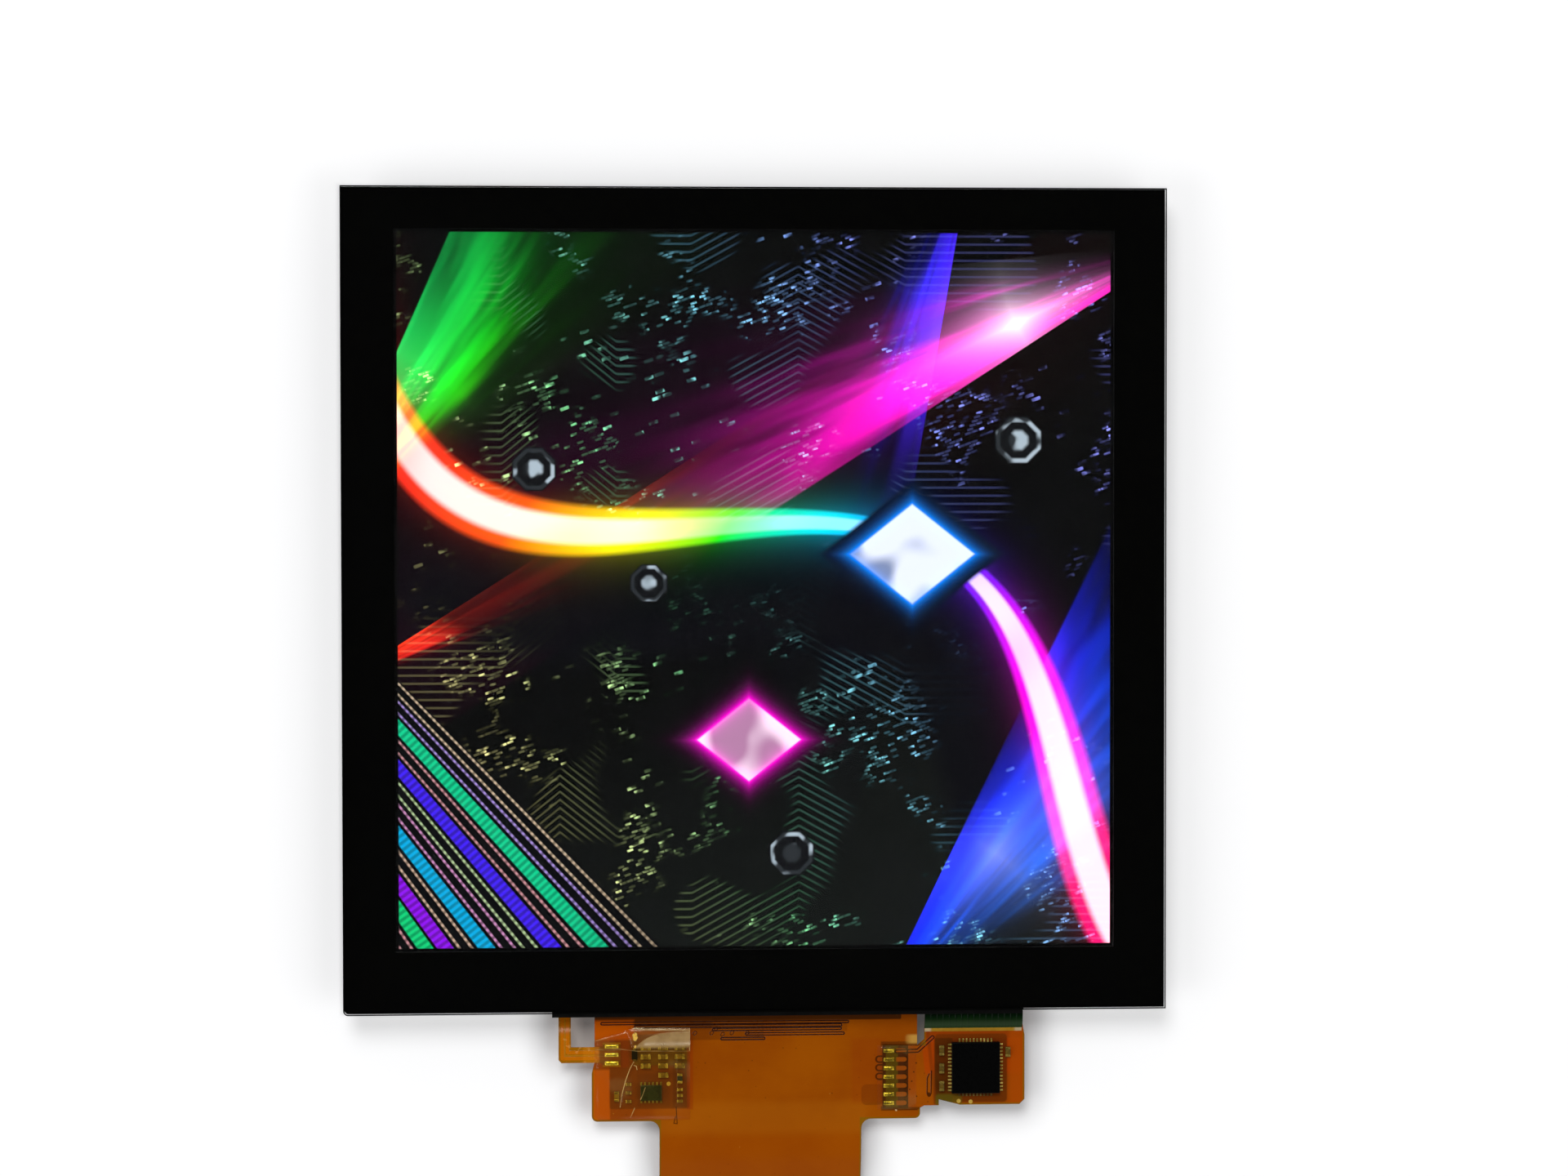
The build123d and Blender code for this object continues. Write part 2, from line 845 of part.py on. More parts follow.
with BuildPart() as led_flex:
    extrude(
        side_view(led_course, 0, flex_thickness, led_flex_plan.sketch),
        amount=2 * led_strip_half_length,
    )
    extrude(led_flex_plan.sketch, amount=surface_top, mode=Mode.INTERSECT)

with BuildPart() as touch_flex:
    extrude(
        side_view(touch_course, 0, flex_thickness, touch_flex_plan.sketch),
        amount=touch_tab_right - limb_left,
    )
    extrude(touch_flex_plan.sketch, amount=gasket_top, mode=Mode.INTERSECT)

cover_film_top = flex_thickness + cover_film_thickness
with BuildPart() as touch_flex_cover:
    extrude(
        side_view(touch_course, flex_thickness, cover_film_top, touch_cover_plan.sketch),
        amount=touch_right - touch_left,
    )
    extrude(touch_cover_plan.sketch, amount=sensor_top, mode=Mode.INTERSECT)

with BuildPart() as touch_ground_bar:
    extrude(
        side_view(touch_course, flex_thickness, cover_film_top, ground_bar_plan.sketch),
        amount=touch_right - touch_left,
    )
    extrude(ground_bar_plan.sketch, amount=sensor_top, mode=Mode.INTERSECT)

# Contact end of the tail, stiffened from below
with BuildPart() as contact_stiffener:
    block(
        tail_left,
        tail_right,
        tail_end,
        tail_end + contact_stiffener_length,
        0,
        contact_stiffener_thickness,
    )

with BuildPart() as contact_fingers:
    with Locations((tail_middle, tail_end, contact_stiffener_thickness + flex_thickness)):
        with GridLocations(contact_pitch, 1, contact_count, 1):
            Box(
                contact_width,
                contact_length,
                contact_height,
                align=(Align.CENTER, Align.MIN, Align.MIN),
            )

# Stiffeners under the parts
with BuildPart() as component_stiffener:
    block(
        main_left + component_stiffener_side,
        main_left + component_stiffener_side + component_stiffener_width,
        lens_bottom - component_stiffener_top_reach - component_stiffener_height,
        lens_bottom - component_stiffener_top_reach,
        tft_top - component_stiffener_thickness,
        tft_top,
    )

with BuildPart() as touch_stiffener:
    block(
        notch_left + touch_stiffener_inset,
        touch_tab_right - touch_stiffener_inset,
        touch_tab_bottom + touch_stiffener_inset,
        lens_bottom - touch_bend_reach - touch_bend_run,
        main_flex_top - touch_stiffener_thickness,
        main_flex_top,
    )

# Soldered joints between the flexes
with BuildPart() as led_flex_joints:
    with BuildSketch(Plane.XY.offset(surface_top)):
        with Locations((led_tip_middle, led_arm_middle)):
            with GridLocations(1, led_joint_pitch, 1, 3):
                RectangleRounded(led_joint_length, joint_width, joint_corner)
    extrude(amount=joint_height, taper=joint_slope_angle)

touch_joint_x = limb_left + touch_joint_inset + touch_joint_length / 2
with BuildPart() as touch_flex_joints:
    with BuildSketch(Plane.XY.offset(surface_top)):
        with Locations((touch_joint_x, (limb_top + limb_bottom) / 2)):
            with GridLocations(1, touch_joint_pitch, 1, touch_joint_count):
                RectangleRounded(touch_joint_length, joint_width, joint_corner)
    extrude(amount=joint_height, taper=joint_slope_angle)

# Small parts on the main flex
grid_chips = [
    (*from_main_flex((column, chip_first_reach + row * chip_row_pitch)), 0)
    for column in chip_columns
    for row in range(chip_row_count)
]
large_chips = grid_chips + [
    (*from_main_flex(extra_capacitor), 0),
    (*from_main_flex(side_capacitor), 90),
]
small_chips = [
    (*from_main_flex((small_right_column, small_right_reach + row * small_right_pitch)), 0)
    for row in range(small_count)
] + [
    (*from_main_flex((small_left_column, small_left_reach + row * small_left_pitch)), 0)
    for row in range(small_count)
]
resistors = [(*from_main_flex(resistor_place), 90)]
diodes = [(*from_main_flex(diode_place), 90)]

with BuildPart() as capacitor_bodies:
    chip_bodies(large_chips, large_chip, main_flex_top)
    chip_bodies(small_chips, small_chip, main_flex_top)

with BuildPart() as resistor_bodies:
    chip_bodies(resistors, large_chip, main_flex_top)

with BuildPart() as component_ends:
    chip_ends(large_chips + resistors, large_chip, main_flex_top)
    chip_ends(small_chips, small_chip, main_flex_top)

with BuildPart() as diode:
    chip_bodies(diodes, diode_chip, main_flex_top)

with BuildPart() as diode_leads:
    for x, y, turn in diodes:
        lead_row(x, y, 0, 1, 1, diode_chip[0] / 2 - diode_chip[3], diode_chip[1] / 2, diode_lead, main_flex_top)

power_x, power_y = from_main_flex(power_place)
with BuildPart() as power_chip:
    with Locations((power_x, power_y, main_flex_top)):
        Box(power_length, power_width, power_height, align=(Align.CENTER, Align.CENTER, Align.MIN))

with BuildPart() as power_chip_pins:
    lead_row(
        power_x,
        power_y,
        0,
        power_pin_count,
        power_pin_pitch,
        power_width / 2,
        power_pin_width,
        power_pin_reach,
        main_flex_top,
    )

# Touch controller and its parts
with BuildPart() as touch_controller:
    with Locations((controller_x, controller_y, surface_top)):
        Box(
            controller_length,
            controller_width,
            controller_height,
            align=(Align.CENTER, Align.CENTER, Align.MIN),
        )
    chamfer(touch_controller.faces().sort_by(Axis.Z)[-1].edges(), controller_edge)

with BuildPart() as touch_controller_pins:
    lead_row(
        controller_x,
        controller_y,
        0,
        pin_count_across,
        pin_pitch,
        controller_width / 2,
        pin_width,
        pin_reach,
        surface_top,
    )
    lead_row(
        controller_x,
        controller_y,
        90,
        pin_count_down,
        pin_pitch,
        controller_length / 2,
        pin_width,
        pin_reach,
        surface_top,
    )

touch_chips = [
    (*from_touch_flex((touch_capacitor_column, reach)), 90) for reach in touch_capacitor_reaches
] + [(*from_touch_flex(touch_far_capacitor), 90)]
with BuildPart() as touch_capacitor_bodies:
    chip_bodies(touch_chips, large_chip, surface_top)

with BuildPart() as touch_capacitor_ends:
    chip_ends(touch_chips, large_chip, surface_top)

with BuildPart() as test_pads:
    with Locations((*from_main_flex(test_pad_place), main_flex_top)):
        Cylinder(test_pad_radius, test_pad_height, align=(Align.CENTER, Align.CENTER, Align.MIN))
    for pad_place in touch_pad_places:
        with Locations((*from_touch_flex(pad_place), surface_top)):
            Cylinder(test_pad_radius, test_pad_height, align=(Align.CENTER, Align.CENTER, Align.MIN))

# Amber tapes: a stuck rim and a raised middle, hollow over what they cover
with BuildPart() as component_tape:
    with BuildSketch(Plane.XY.offset(main_flex_top)):
        add(component_tape_plan.sketch)
    extrude(amount=film_tape_thickness)
    with BuildSketch(Plane.XY.offset(main_flex_top)):
        add(component_tape_plan.sketch)
        offset(amount=-tape_flange, kind=Kind.INTERSECTION, mode=Mode.REPLACE)
    extrude(amount=tape_rise, taper=tape_slope_angle)
    with BuildSketch(Plane.XY.offset(main_flex_top)):
        add(component_tape_plan.sketch)
        offset(
            amount=-tape_flange - film_tape_thickness,
            kind=Kind.INTERSECTION,
            mode=Mode.REPLACE,
        )
    extrude(amount=tape_rise - film_tape_thickness, taper=tape_slope_angle, mode=Mode.SUBTRACT)
    # The backlight arm runs in under the tape's left edge.
    block(
        lobe_left,
        led_tip_left,
        led_arm_bottom - film_tape_thickness,
        led_arm_top + film_tape_thickness,
        main_flex_top,
        surface_top + film_tape_thickness,
        mode=Mode.SUBTRACT,
    )

joint_tape_height = limb_top - limb_bottom - joint_tape_inset
with BuildPart() as joint_tape:
    tape_place = (limb_left - joint_tape_left, (limb_top + limb_bottom) / 2)
    tape_size = joint_tape_left + joint_tape_right
    with BuildSketch(Plane.XY.offset(surface_top)):
        with Locations(tape_place):
            Rectangle(tape_size, joint_tape_height, align=(Align.MIN, Align.CENTER))
    extrude(amount=film_tape_thickness)
    with BuildSketch(Plane.XY.offset(surface_top)):
        with Locations((tape_place[0] + tape_size / 2, tape_place[1])):
            Rectangle(tape_size - 2 * joint_tape_flange, joint_tape_height - 2 * joint_tape_flange)
    extrude(amount=joint_tape_rise, taper=joint_tape_slope_angle)
    with BuildSketch(Plane.XY.offset(surface_top)):
        with Locations((tape_place[0] + tape_size / 2, tape_place[1])):
            hollow_edge = joint_tape_flange + film_tape_thickness
            Rectangle(tape_size - 2 * hollow_edge, joint_tape_height - 2 * hollow_edge)
    extrude(
        amount=joint_tape_rise - film_tape_thickness,
        taper=joint_tape_slope_angle,
        mode=Mode.SUBTRACT,
    )

# Black strip under the lens's bottom edge, in front of the flexes
with BuildPart() as exit_shield:
    block(
        shield_left,
        shield_right,
        lens_bottom - shield_below_lens,
        sensor_bottom - shield_gap,
        adhesive_top - shield_thickness,
        adhesive_top,
    )

pieces = {
    "cover_glass": cover_glass,
    "border_print": border_print,
    "lens_adhesive": lens_adhesive,
    "touch_sensor": touch_sensor,
    "gasket_tape": gasket_tape,
    "front_polarizer": front_polarizer,
    "color_filter_glass": color_filter_glass,
    "cell_seal": cell_seal,
    "liquid_crystal": liquid_crystal,
    "tft_glass": tft_glass,
    "rear_polarizer": rear_polarizer,
    "driver_ic": driver_ic,
    "driver_ic_tape": driver_ic_tape,
    "rim_tape": rim_tape,
    "upper_prism_film": upper_prism_film,
    "lower_prism_film": lower_prism_film,
    "diffuser_film": diffuser_film,
    "light_guide": light_guide,
    "reflector_film": reflector_film,
    "mould_frame": mould_frame,
    "metal_tray": metal_tray,
    "led_housings": led_housings,
    "led_phosphors": led_phosphors,
    "led_flex": led_flex,
    "led_flex_joints": led_flex_joints,
    "main_flex": main_flex,
    "contact_stiffener": contact_stiffener,
    "contact_fingers": contact_fingers,
    "component_stiffener": component_stiffener,
    "capacitor_bodies": capacitor_bodies,
    "resistor_bodies": resistor_bodies,
    "component_ends": component_ends,
    "diode": diode,
    "diode_leads": diode_leads,
    "power_chip": power_chip,
    "power_chip_pins": power_chip_pins,
    "component_tape": component_tape,
    "touch_flex": touch_flex,
    "touch_flex_cover": touch_flex_cover,
    "touch_ground_bar": touch_ground_bar,
    "touch_stiffener": touch_stiffener,
    "touch_flex_joints": touch_flex_joints,
    "joint_tape": joint_tape,
    "touch_controller": touch_controller,
    "touch_controller_pins": touch_controller_pins,
    "touch_capacitor_bodies": touch_capacitor_bodies,
    "touch_capacitor_ends": touch_capacitor_ends,
    "test_pads": test_pads,
    "exit_shield": exit_shield,
}

for name, piece in pieces.items():
    piece.part.label = name
    export_step(piece.part, f"parts/{name}.step")
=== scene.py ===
import json
import math
import random

import bmesh
import bpy
import numpy as np
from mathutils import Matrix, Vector


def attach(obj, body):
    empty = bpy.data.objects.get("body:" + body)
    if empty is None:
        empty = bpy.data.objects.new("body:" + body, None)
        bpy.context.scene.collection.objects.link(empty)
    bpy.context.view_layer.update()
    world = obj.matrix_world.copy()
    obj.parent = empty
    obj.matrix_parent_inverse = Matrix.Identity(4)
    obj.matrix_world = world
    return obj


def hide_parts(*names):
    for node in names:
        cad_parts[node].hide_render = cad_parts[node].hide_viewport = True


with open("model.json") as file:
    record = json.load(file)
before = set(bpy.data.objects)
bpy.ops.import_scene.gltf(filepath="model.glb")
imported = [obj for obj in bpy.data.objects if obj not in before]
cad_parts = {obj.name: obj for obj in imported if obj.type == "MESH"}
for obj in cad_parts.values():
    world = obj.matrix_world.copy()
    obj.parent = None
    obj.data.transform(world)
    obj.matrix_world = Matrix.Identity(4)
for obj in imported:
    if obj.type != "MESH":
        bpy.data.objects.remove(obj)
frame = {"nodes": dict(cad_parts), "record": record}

# A square display module lying on its back: the lit picture under a black-bordered lens, and the
# amber flex circuits that leave its bottom edge. Places are written in millimetres.
mm = 0.001
nodes = frame["nodes"]
scene = bpy.context.scene
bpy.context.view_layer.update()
print("frame loaded,", len(nodes), "nodes")


def tone(red, green, blue):
    # a colour as a screen shows it, 0 to 255, made linear
    def linear(part):
        part = part / 255
        return part / 12.92 if part <= 0.04045 else ((part + 0.055) / 1.055) ** 2.4
    return (linear(red), linear(green), linear(blue), 1)


# Shader sums
class Number:
    # one value that varies over a surface, ready for sums
    def __init__(self, paint, socket):
        self.paint = paint
        self.socket = socket

    def __abs__(self):
        return self.paint.maths("ABSOLUTE", self)

    def sine(self):
        return self.paint.maths("SINE", self)

    def part(self):
        # what stands after the point
        return self.paint.maths("FRACT", self)

    def fade(self, start, end):
        # 0 at start and 1 at end, smooth between them
        made = self.paint.node("MapRange", {0: self, 1: start, 2: end}, {"interpolation_type": "SMOOTHSTEP"})
        return Number(self.paint, made.outputs[0])

    def between(self, least, most):
        return least + (most - least) * self

    def glow(self, width):
        # 1 on a line, falling away over a width
        return self.paint.maths("EXPONENT", self * (-1 / width))


def addOperator(sign, operation):
    # an operator and its reflected form
    setattr(Number, "__" + sign + "__", lambda self, other: self.paint.maths(operation, self, other))
    setattr(Number, "__r" + sign + "__", lambda self, other: self.paint.maths(operation, other, self))


operators = {
    "add": "ADD", "sub": "SUBTRACT", "mul": "MULTIPLY", "truediv": "DIVIDE", "pow": "POWER", "or": "MAXIMUM",
    "and": "MINIMUM",
}
for sign, operation in operators.items():
    addOperator(sign, operation)


class Paint:
    # one material, with its nodes added from one method; a colour of three numbers is one for tone
    def __init__(self, name):
        first, *words = name.split("_")
        self.material = bpy.data.materials.new(first + "".join(word.capitalize() for word in words))
        self.material.use_nodes = True
        self.tree = self.material.node_tree
        self.tree.nodes.clear()
        self.place = self.node("TexCoord").outputs["Object"]
        self.spot = self.node("VectorMath", {0: self.place, "Scale": 1 / mm}, {"operation": "SCALE"}).outputs[0]
        parts = self.node("SeparateXYZ", {0: self.spot}).outputs
        self.x, self.y, self.z = (Number(self, part) for part in parts)

    def node(self, kind, values=None, settings=None):
        made = self.tree.nodes.new("ShaderNode" + kind)
        for name, value in (settings or {}).items():
            if name == "stops":
                ramp = made.color_ramp
                for index, (at, colour) in enumerate(value):
                    stop = ramp.elements[index] if index < 2 else ramp.elements.new(at)
                    stop.position, stop.color = at, tone(*colour)
            else:
                setattr(made, name, value)
        for name, value in (values or {}).items():
            value = getattr(value, "socket", value)
            socket = made.inputs[name]
            if isinstance(value, bpy.types.NodeSocket):
                self.tree.links.new(value, socket)
            elif socket.type == "RGBA" and len(value) == 3:
                socket.default_value = tone(*value)
            else:
                socket.default_value = value[:3] if socket.type == "VECTOR" else value
        return made

    def maths(self, operation, *values):
        return Number(self, self.node("Math", dict(enumerate(values)), {"operation": operation}).outputs[0])

    def length(self, across, along):
        return (across * across + along * along) ** 0.5

    def union(self, masks):
        # the strongest of several masks
        whole = masks[0]
        for mask in masks[1:]:
            whole = whole | mask
        return whole

    def mix(self, share, first, second):
        made = self.node("Mix", {0: share, 6: first, 7: second}, {"data_type": "RGBA"})
        return made.outputs[2]

    def scaled(self, colour, amount):
        # a colour times a number
        made = self.node("VectorMath", {0: colour, "Scale": amount}, {"operation": "SCALE"})
        return made.outputs[0]

    def lay(self, shown, colour, amount):
        # light of a colour added to what is shown
        return self.node("VectorMath", {0: shown, 1: self.scaled(colour, amount)}).outputs[0]

    def point(self, x, y, z=0):
        return self.node("CombineXYZ", {0: x, 1: y, 2: z}).outputs[0]

    def noise(self, scale, detail=2, rough=0.5, at=None):
        made = self.node("TexNoise", {
            "Vector": at or self.spot, "Scale": scale, "Detail": detail, "Roughness": rough})
        return Number(self, made.outputs["Fac"])

    def clouds(self, scale, detail, start, end):
        return self.noise(scale, detail).fade(start, end)

    def cells(self, scale, feature="F1", at=None):
        made = self.node("TexVoronoi", {"Vector": at or self.spot, "Scale": scale}, {"feature": feature})
        return Number(self, made.outputs["Distance"])

    def ramp(self, value, stops):
        return self.node("ValToRGB", {0: value}, {"stops": stops}).outputs["Color"]

    def box(self, left, right, bottom, top, soft=0.06, corner=0):
        # 1 inside a rectangle of the plan, with or without round corners
        across = abs(self.x - (left + right) / 2) - ((right - left) / 2 - corner)
        along = abs(self.y - (bottom + top) / 2) - ((top - bottom) / 2 - corner)
        if corner:
            across, along = across | 0, along | 0
            return (self.length(across, along) - corner).fade(soft, 0)
        return (across | along).fade(soft, 0)

    def away(self, start, end):
        # distance in the plan from the line between two points
        (x0, y0), (x1, y1) = start, end
        dx, dy = x1 - x0, y1 - y0
        size = dx * dx + dy * dy
        u, v = self.x - x0, self.y - y0
        share = (u * (dx / size) + v * (dy / size)) | 0
        share = share & 1
        return self.length(u - share * dx, v - share * dy)

    def awayFromLine(self, points):
        # the same for a bent line
        nearest = self.away(*points[:2])
        for start, end in zip(points[1:], points[2:]):
            nearest = nearest & self.away(start, end)
        return nearest

    def stroke(self, points, half, soft=0.05):
        # a band along a bent line
        return self.awayFromLine(points).fade(half + soft, half - soft * 0.4)

    def bump(self, height, depth, after=None):
        # height is 0 to 1 and depth is in millimetres
        values = {"Height": height, "Distance": depth * mm, "Strength": 1}
        if after is not None:
            values["Normal"] = after
        return self.node("Bump", values).outputs[0]

    def surface(self, **values):
        named = {
            "colour": "Base Color", "rough": "Roughness", "metal": "Metallic", "normal": "Normal",
            "coat": "Coat Weight", "alpha": "Alpha", "glass": "Transmission Weight",
            "bend": "IOR", "light": "Emission Color", "strength": "Emission Strength", "level": "Specular IOR Level",
        }
        sockets = {named[name]: value for name, value in values.items()}
        return self.node("BsdfPrincipled", sockets).outputs[0]

    def done(self, shader):
        self.node("OutputMaterial", {"Surface": shader})
        return self.material

    def finish(self, **values):
        return self.done(self.surface(**values))


# Plain finishes
def plainFinish(name, dark, light, rough, grain, metal=0, relief=0.004, **more):
    # two close tones in soft clouds, with a fine grain in gloss and relief
    paint = Paint(name)
    clouds = paint.clouds(grain * 0.6, 3, 0.3, 0.7)
    fine = paint.noise(grain * 9)
    colour = paint.mix(clouds, dark, light)
    gloss = fine.between(*rough)
    normal = paint.bump(fine, relief)
    return paint.finish(colour=colour, rough=gloss, metal=metal, normal=normal, **more)


def clearFinish(name, tint, alpha, rough, veil):
    # a thin clear layer whose faint veil is uneven
    paint = Paint(name)
    cloud = paint.noise(0.5)
    return paint.finish(
        colour=paint.mix(cloud, tint, tuple(c * 0.8 for c in tint[:3]) + (1,)),
        rough=rough + 0.05 * cloud, alpha=alpha + veil * cloud)


def rolledMetal(name, dark, light):
    # rolled sheet: long fine streaks, cloudy gloss and a few handling marks
    paint = Paint(name)
    lengthwise = paint.point(paint.x * 0.04, paint.y * 2.5, paint.z * 2.5)
    lines = paint.noise(2, 4, 0.7, lengthwise)
    clouds = paint.clouds(0.09, 3, 0.3, 0.7)
    scratched = paint.cells(0.06, "DISTANCE_TO_EDGE", paint.point(paint.x + clouds * 9, paint.y, 0))
    marks = scratched.fade(0.012, 0)
    colour = paint.mix(lines * 0.6 + clouds * 0.4, dark, light)
    gloss = lines.between(0.22, 0.38) + 0.08 * clouds + 0.12 * marks
    return paint.finish(colour=colour, rough=gloss, metal=1, normal=paint.bump(lines, 0.002))


# The lit picture: over black, a long ribbon of light, beams, a fan of notched stripes, lit diamonds, studs
# and fields of fine bricks and traces. Places and sizes are shares of half the picture.
screen = {
    "half": 35.965, "face": 2.3, "strength": 1, "white": (1, 1, 1, 1), "grey": tone(176, 192, 204),
    "ground": tone(36, 41, 38), "film": ((2, 2, 3), (5, 5, 6)),
}
spectrum = [
    (0, (255, 10, 30)), (0.14, (255, 90, 0)), (0.27, (250, 235, 0)), (0.4, (20, 225, 10)),
    (0.54, (0, 205, 235)), (0.66, (10, 40, 255)), (0.8, (130, 20, 255)), (0.92, (255, 0, 215)),
    (1, (255, 0, 110)),
]
beams = [
    # apex, way it points, half its spread, where it is brightest, reach, hues, power, white heat
    ((1.22, 0.98), 3.48, 0.24, 0.6, 0.46, (0.9, 0.95), 2.75, 1.6),
    ((0.3, -1.25), 0.78, 0.34, 0.7, 0.46, (0.61, 0.665), 2.5, 0.25),
    ((-1.25, 0.1), 0.86, 0.3, 0.62, 0.36, (0.38, 0.42), 2.125, 0.05),
    ((-1.2, -0.28), 0.42, 0.15, 0.4, 0.42, (0, 0.05), 2.25, 0),
    ((0.62, 1.3), -1.94, 0.2, 0.5, 0.24, (0.655, 0.7), 1.625, 0),
]
beamLook = {"edge": 0.97, "streaks": (0.45, 1.3), "spotSize": 0.1, "spotSide": 0.45, "spotWidth": 0.35}
brickFields = [
    # scale, brick width, row height, bias, its field's scale, place and edge, least light, gain, shine from
    (0.55, 0.62, 0.3, -0.35, 0.055, (-31, 12), 0.53, 0.06, 1.7, 0.46),
    (1.25, 0.9, 0.4, -0.15, 0.09, (22, -57), 0.55, 0.15, 1.6, 0.5),
]
brickTurn = (0.94, 0.34)
traces = {"pitch": 44, "scale": 0.075, "shift": 70, "strength": 0.12}
fan = {
    "apex": (-2.6, 1.4), "from": -0.985, "to": -0.8, "stripes": 12, "notch": 360, "ground": (6, 7, 9),
    "hueStep": 0.377, "kindStep": 0.618,
}
ribbon = {
    "tilt": -0.62, "wave": 0.33, "turns": 2.5, "shift": 0.55, "drop": 0.06, "thin": 0.02, "thick": 0.054,
    "swell": (3.1, 0.9), "glow": 0.032, "hollow": (4, 4, 9), "depth": 0.94,
}
# lit diamonds: middle, size, hue of the rim; dark studs: middle, size
diamonds = [((0.44, 0.1), 0.145, 0.62), ((-0.02, -0.42), 0.12, 0.92)]
studs = [((-0.62, 0.34), 0.06), ((0.74, 0.42), 0.066), ((0.1, -0.74), 0.062), ((-0.3, 0.02), 0.052)]


def turned(u, v, angle):
    # the two measured along and across a direction
    cosine, sine = math.cos(angle), math.sin(angle)
    return u * cosine + v * sine, v * cosine - u * sine


def beamsOver(paint, shown, u, v):
    # beams with a hard edge and a hot spot
    for apex, way, half, bright, extent, hues, power, heat in beams:
        du, dv = u - apex[0], v - apex[1]
        reach = paint.length(du, dv)
        along, side = turned(du, dv, way)
        across = paint.maths("ARCTAN2", side, along) / half
        inside = abs(across).fade(1, beamLook["edge"])
        streak = paint.noise(1, 3, 0.55, paint.point(across * 2.2, reach * 0.9, way * 7))
        body = abs(reach - bright).glow(extent) * across.fade(-0.9, 0.8).between(0.01, 1)
        body = inside * body * streak.fade(0.35, 0.68).between(*beamLook["streaks"])
        body = body * body.fade(0.05, 0.4).between(0.1, 1)
        hot = inside * abs(reach - bright * 0.9).glow(beamLook["spotSize"])
        hot = hot * abs(across - beamLook["spotSide"]).glow(beamLook["spotWidth"])
        colour = paint.ramp((across * 0.5 + 0.5).between(*hues), spectrum)
        shown = paint.lay(shown, colour, body * power)
        shown = paint.lay(shown, screen["white"], hot * heat)
    return shown


def detailOver(paint, shown, u, v):
    # bricks of which some are lit, and fine traces that jog together
    cosine, sine = brickTurn
    askew = paint.point(paint.x * cosine + paint.y * sine, paint.y * cosine - paint.x * sine)
    shine = paint.noise(0.9)
    detail = 0
    for scale, width, row, bias, fieldScale, (right, up), edge, least, gain, shineFrom in brickFields:
        laid = paint.node("TexBrick", {
            "Vector": askew, "Color1": (0, 0, 0, 1), "Color2": (1, 1, 1, 1), "Mortar": (0, 0, 0, 1),
            "Scale": scale, "Mortar Size": 0.06, "Mortar Smooth": 0.1, "Bias": bias, "Brick Width": width,
            "Row Height": row})
        bricks = Number(paint, laid.outputs["Color"]).fade(0.5, 0.6)
        field = paint.noise(fieldScale, 2, 0.6, paint.point(paint.x + right, paint.y + up))
        detail = detail + bricks * field.fade(edge, 0.62) * (least + gain * shine.fade(shineFrom, 0.68))
    jog = (abs(u - 0.12) & 0.3) * 0.55 + (abs(u + 0.55) & 0.16) * 0.8
    trace = abs(((v + jog) * traces["pitch"]).part() - 0.5).fade(0.18, 0.08)
    traced = paint.noise(traces["scale"], 1, 0.5, paint.point(paint.x + traces["shift"], paint.y))
    detail = detail + trace * traced.fade(0.55, 0.6) * traces["strength"]
    local = paint.ramp((u * 0.8 + v * 0.35).fade(-1, 0.9) * 0.46 + 0.24, spectrum)
    return paint.lay(shown, paint.mix(0.45, local, screen["grey"]), detail)


def fanOver(paint, shown, u, v):
    # broad notched stripes among groups of thin ones
    du, dv = u - fan["apex"][0], v - fan["apex"][1]
    turn = (paint.maths("ARCTAN2", dv, du) - fan["from"]) / (fan["to"] - fan["from"])
    count = turn * fan["stripes"]
    index = paint.maths("FLOOR", count)
    thread = abs(count.part() - 0.5)
    inside = abs(turn - 0.5).fade(0.503, 0.497)
    broad = (index * fan["kindStep"] + 0.3).part().fade(0.5, 0.52)
    notch = (paint.length(du, dv) * fan["notch"]).sine().fade(-0.4, 0.4)
    fall = (u + v * 0.15).fade(-0.15, -0.75).between(0.25, 1)
    wide = broad * thread.fade(0.44, 0.38) * notch.between(0.55, 1)
    thin = (1 - broad) * abs(thread - 0.3).fade(0.1, 0.05) * notch.between(0.35, 1)
    hue = paint.ramp((index * fan["hueStep"] + 0.06).part(), spectrum)
    colour = paint.mix((1 - broad) * 0.55, hue, screen["grey"])
    shown = paint.mix(inside, shown, fan["ground"])
    return paint.lay(shown, colour, inside * (wide + thin) * fall)


def ribbonOver(paint, shown, u, v, slow):
    # a white core between coloured rims, with a glow, and a dark hollow below it
    p, q = turned(u, v, ribbon["tilt"])
    angle = p * ribbon["turns"] + ribbon["shift"]
    centre = angle.sine() * ribbon["wave"] + ribbon["drop"]
    steep = (angle + math.pi / 2).sine() * (ribbon["wave"] * ribbon["turns"])
    gap = (q - centre) / ((steep * steep + 1) ** 0.5)
    swell = 0.5 - 0.5 * (p * ribbon["swell"][0] + ribbon["swell"][1]).sine()
    broad = swell.between(ribbon["thin"], ribbon["thick"])
    hollow = gap.fade(0.02, 0) * gap.fade(-0.42, -0.3)
    hollow = hollow * p.fade(-0.95, -0.7) * p.fade(1, 0.8)
    shown = paint.mix(hollow * ribbon["depth"], shown, ribbon["hollow"])
    colour = paint.ramp(p.fade(-1.25, 1.25), spectrum)
    rim = abs(gap).fade(broad * 1.7, broad * 1.2)
    halo = abs(gap).glow(ribbon["glow"])
    core = abs(gap).fade(broad, broad * 0.55) * slow.fade(0.4, 0.6).between(0.35, 1)
    shown = paint.lay(shown, colour, rim * 1.2 + halo * 0.75)
    return paint.lay(shown, screen["white"], core)


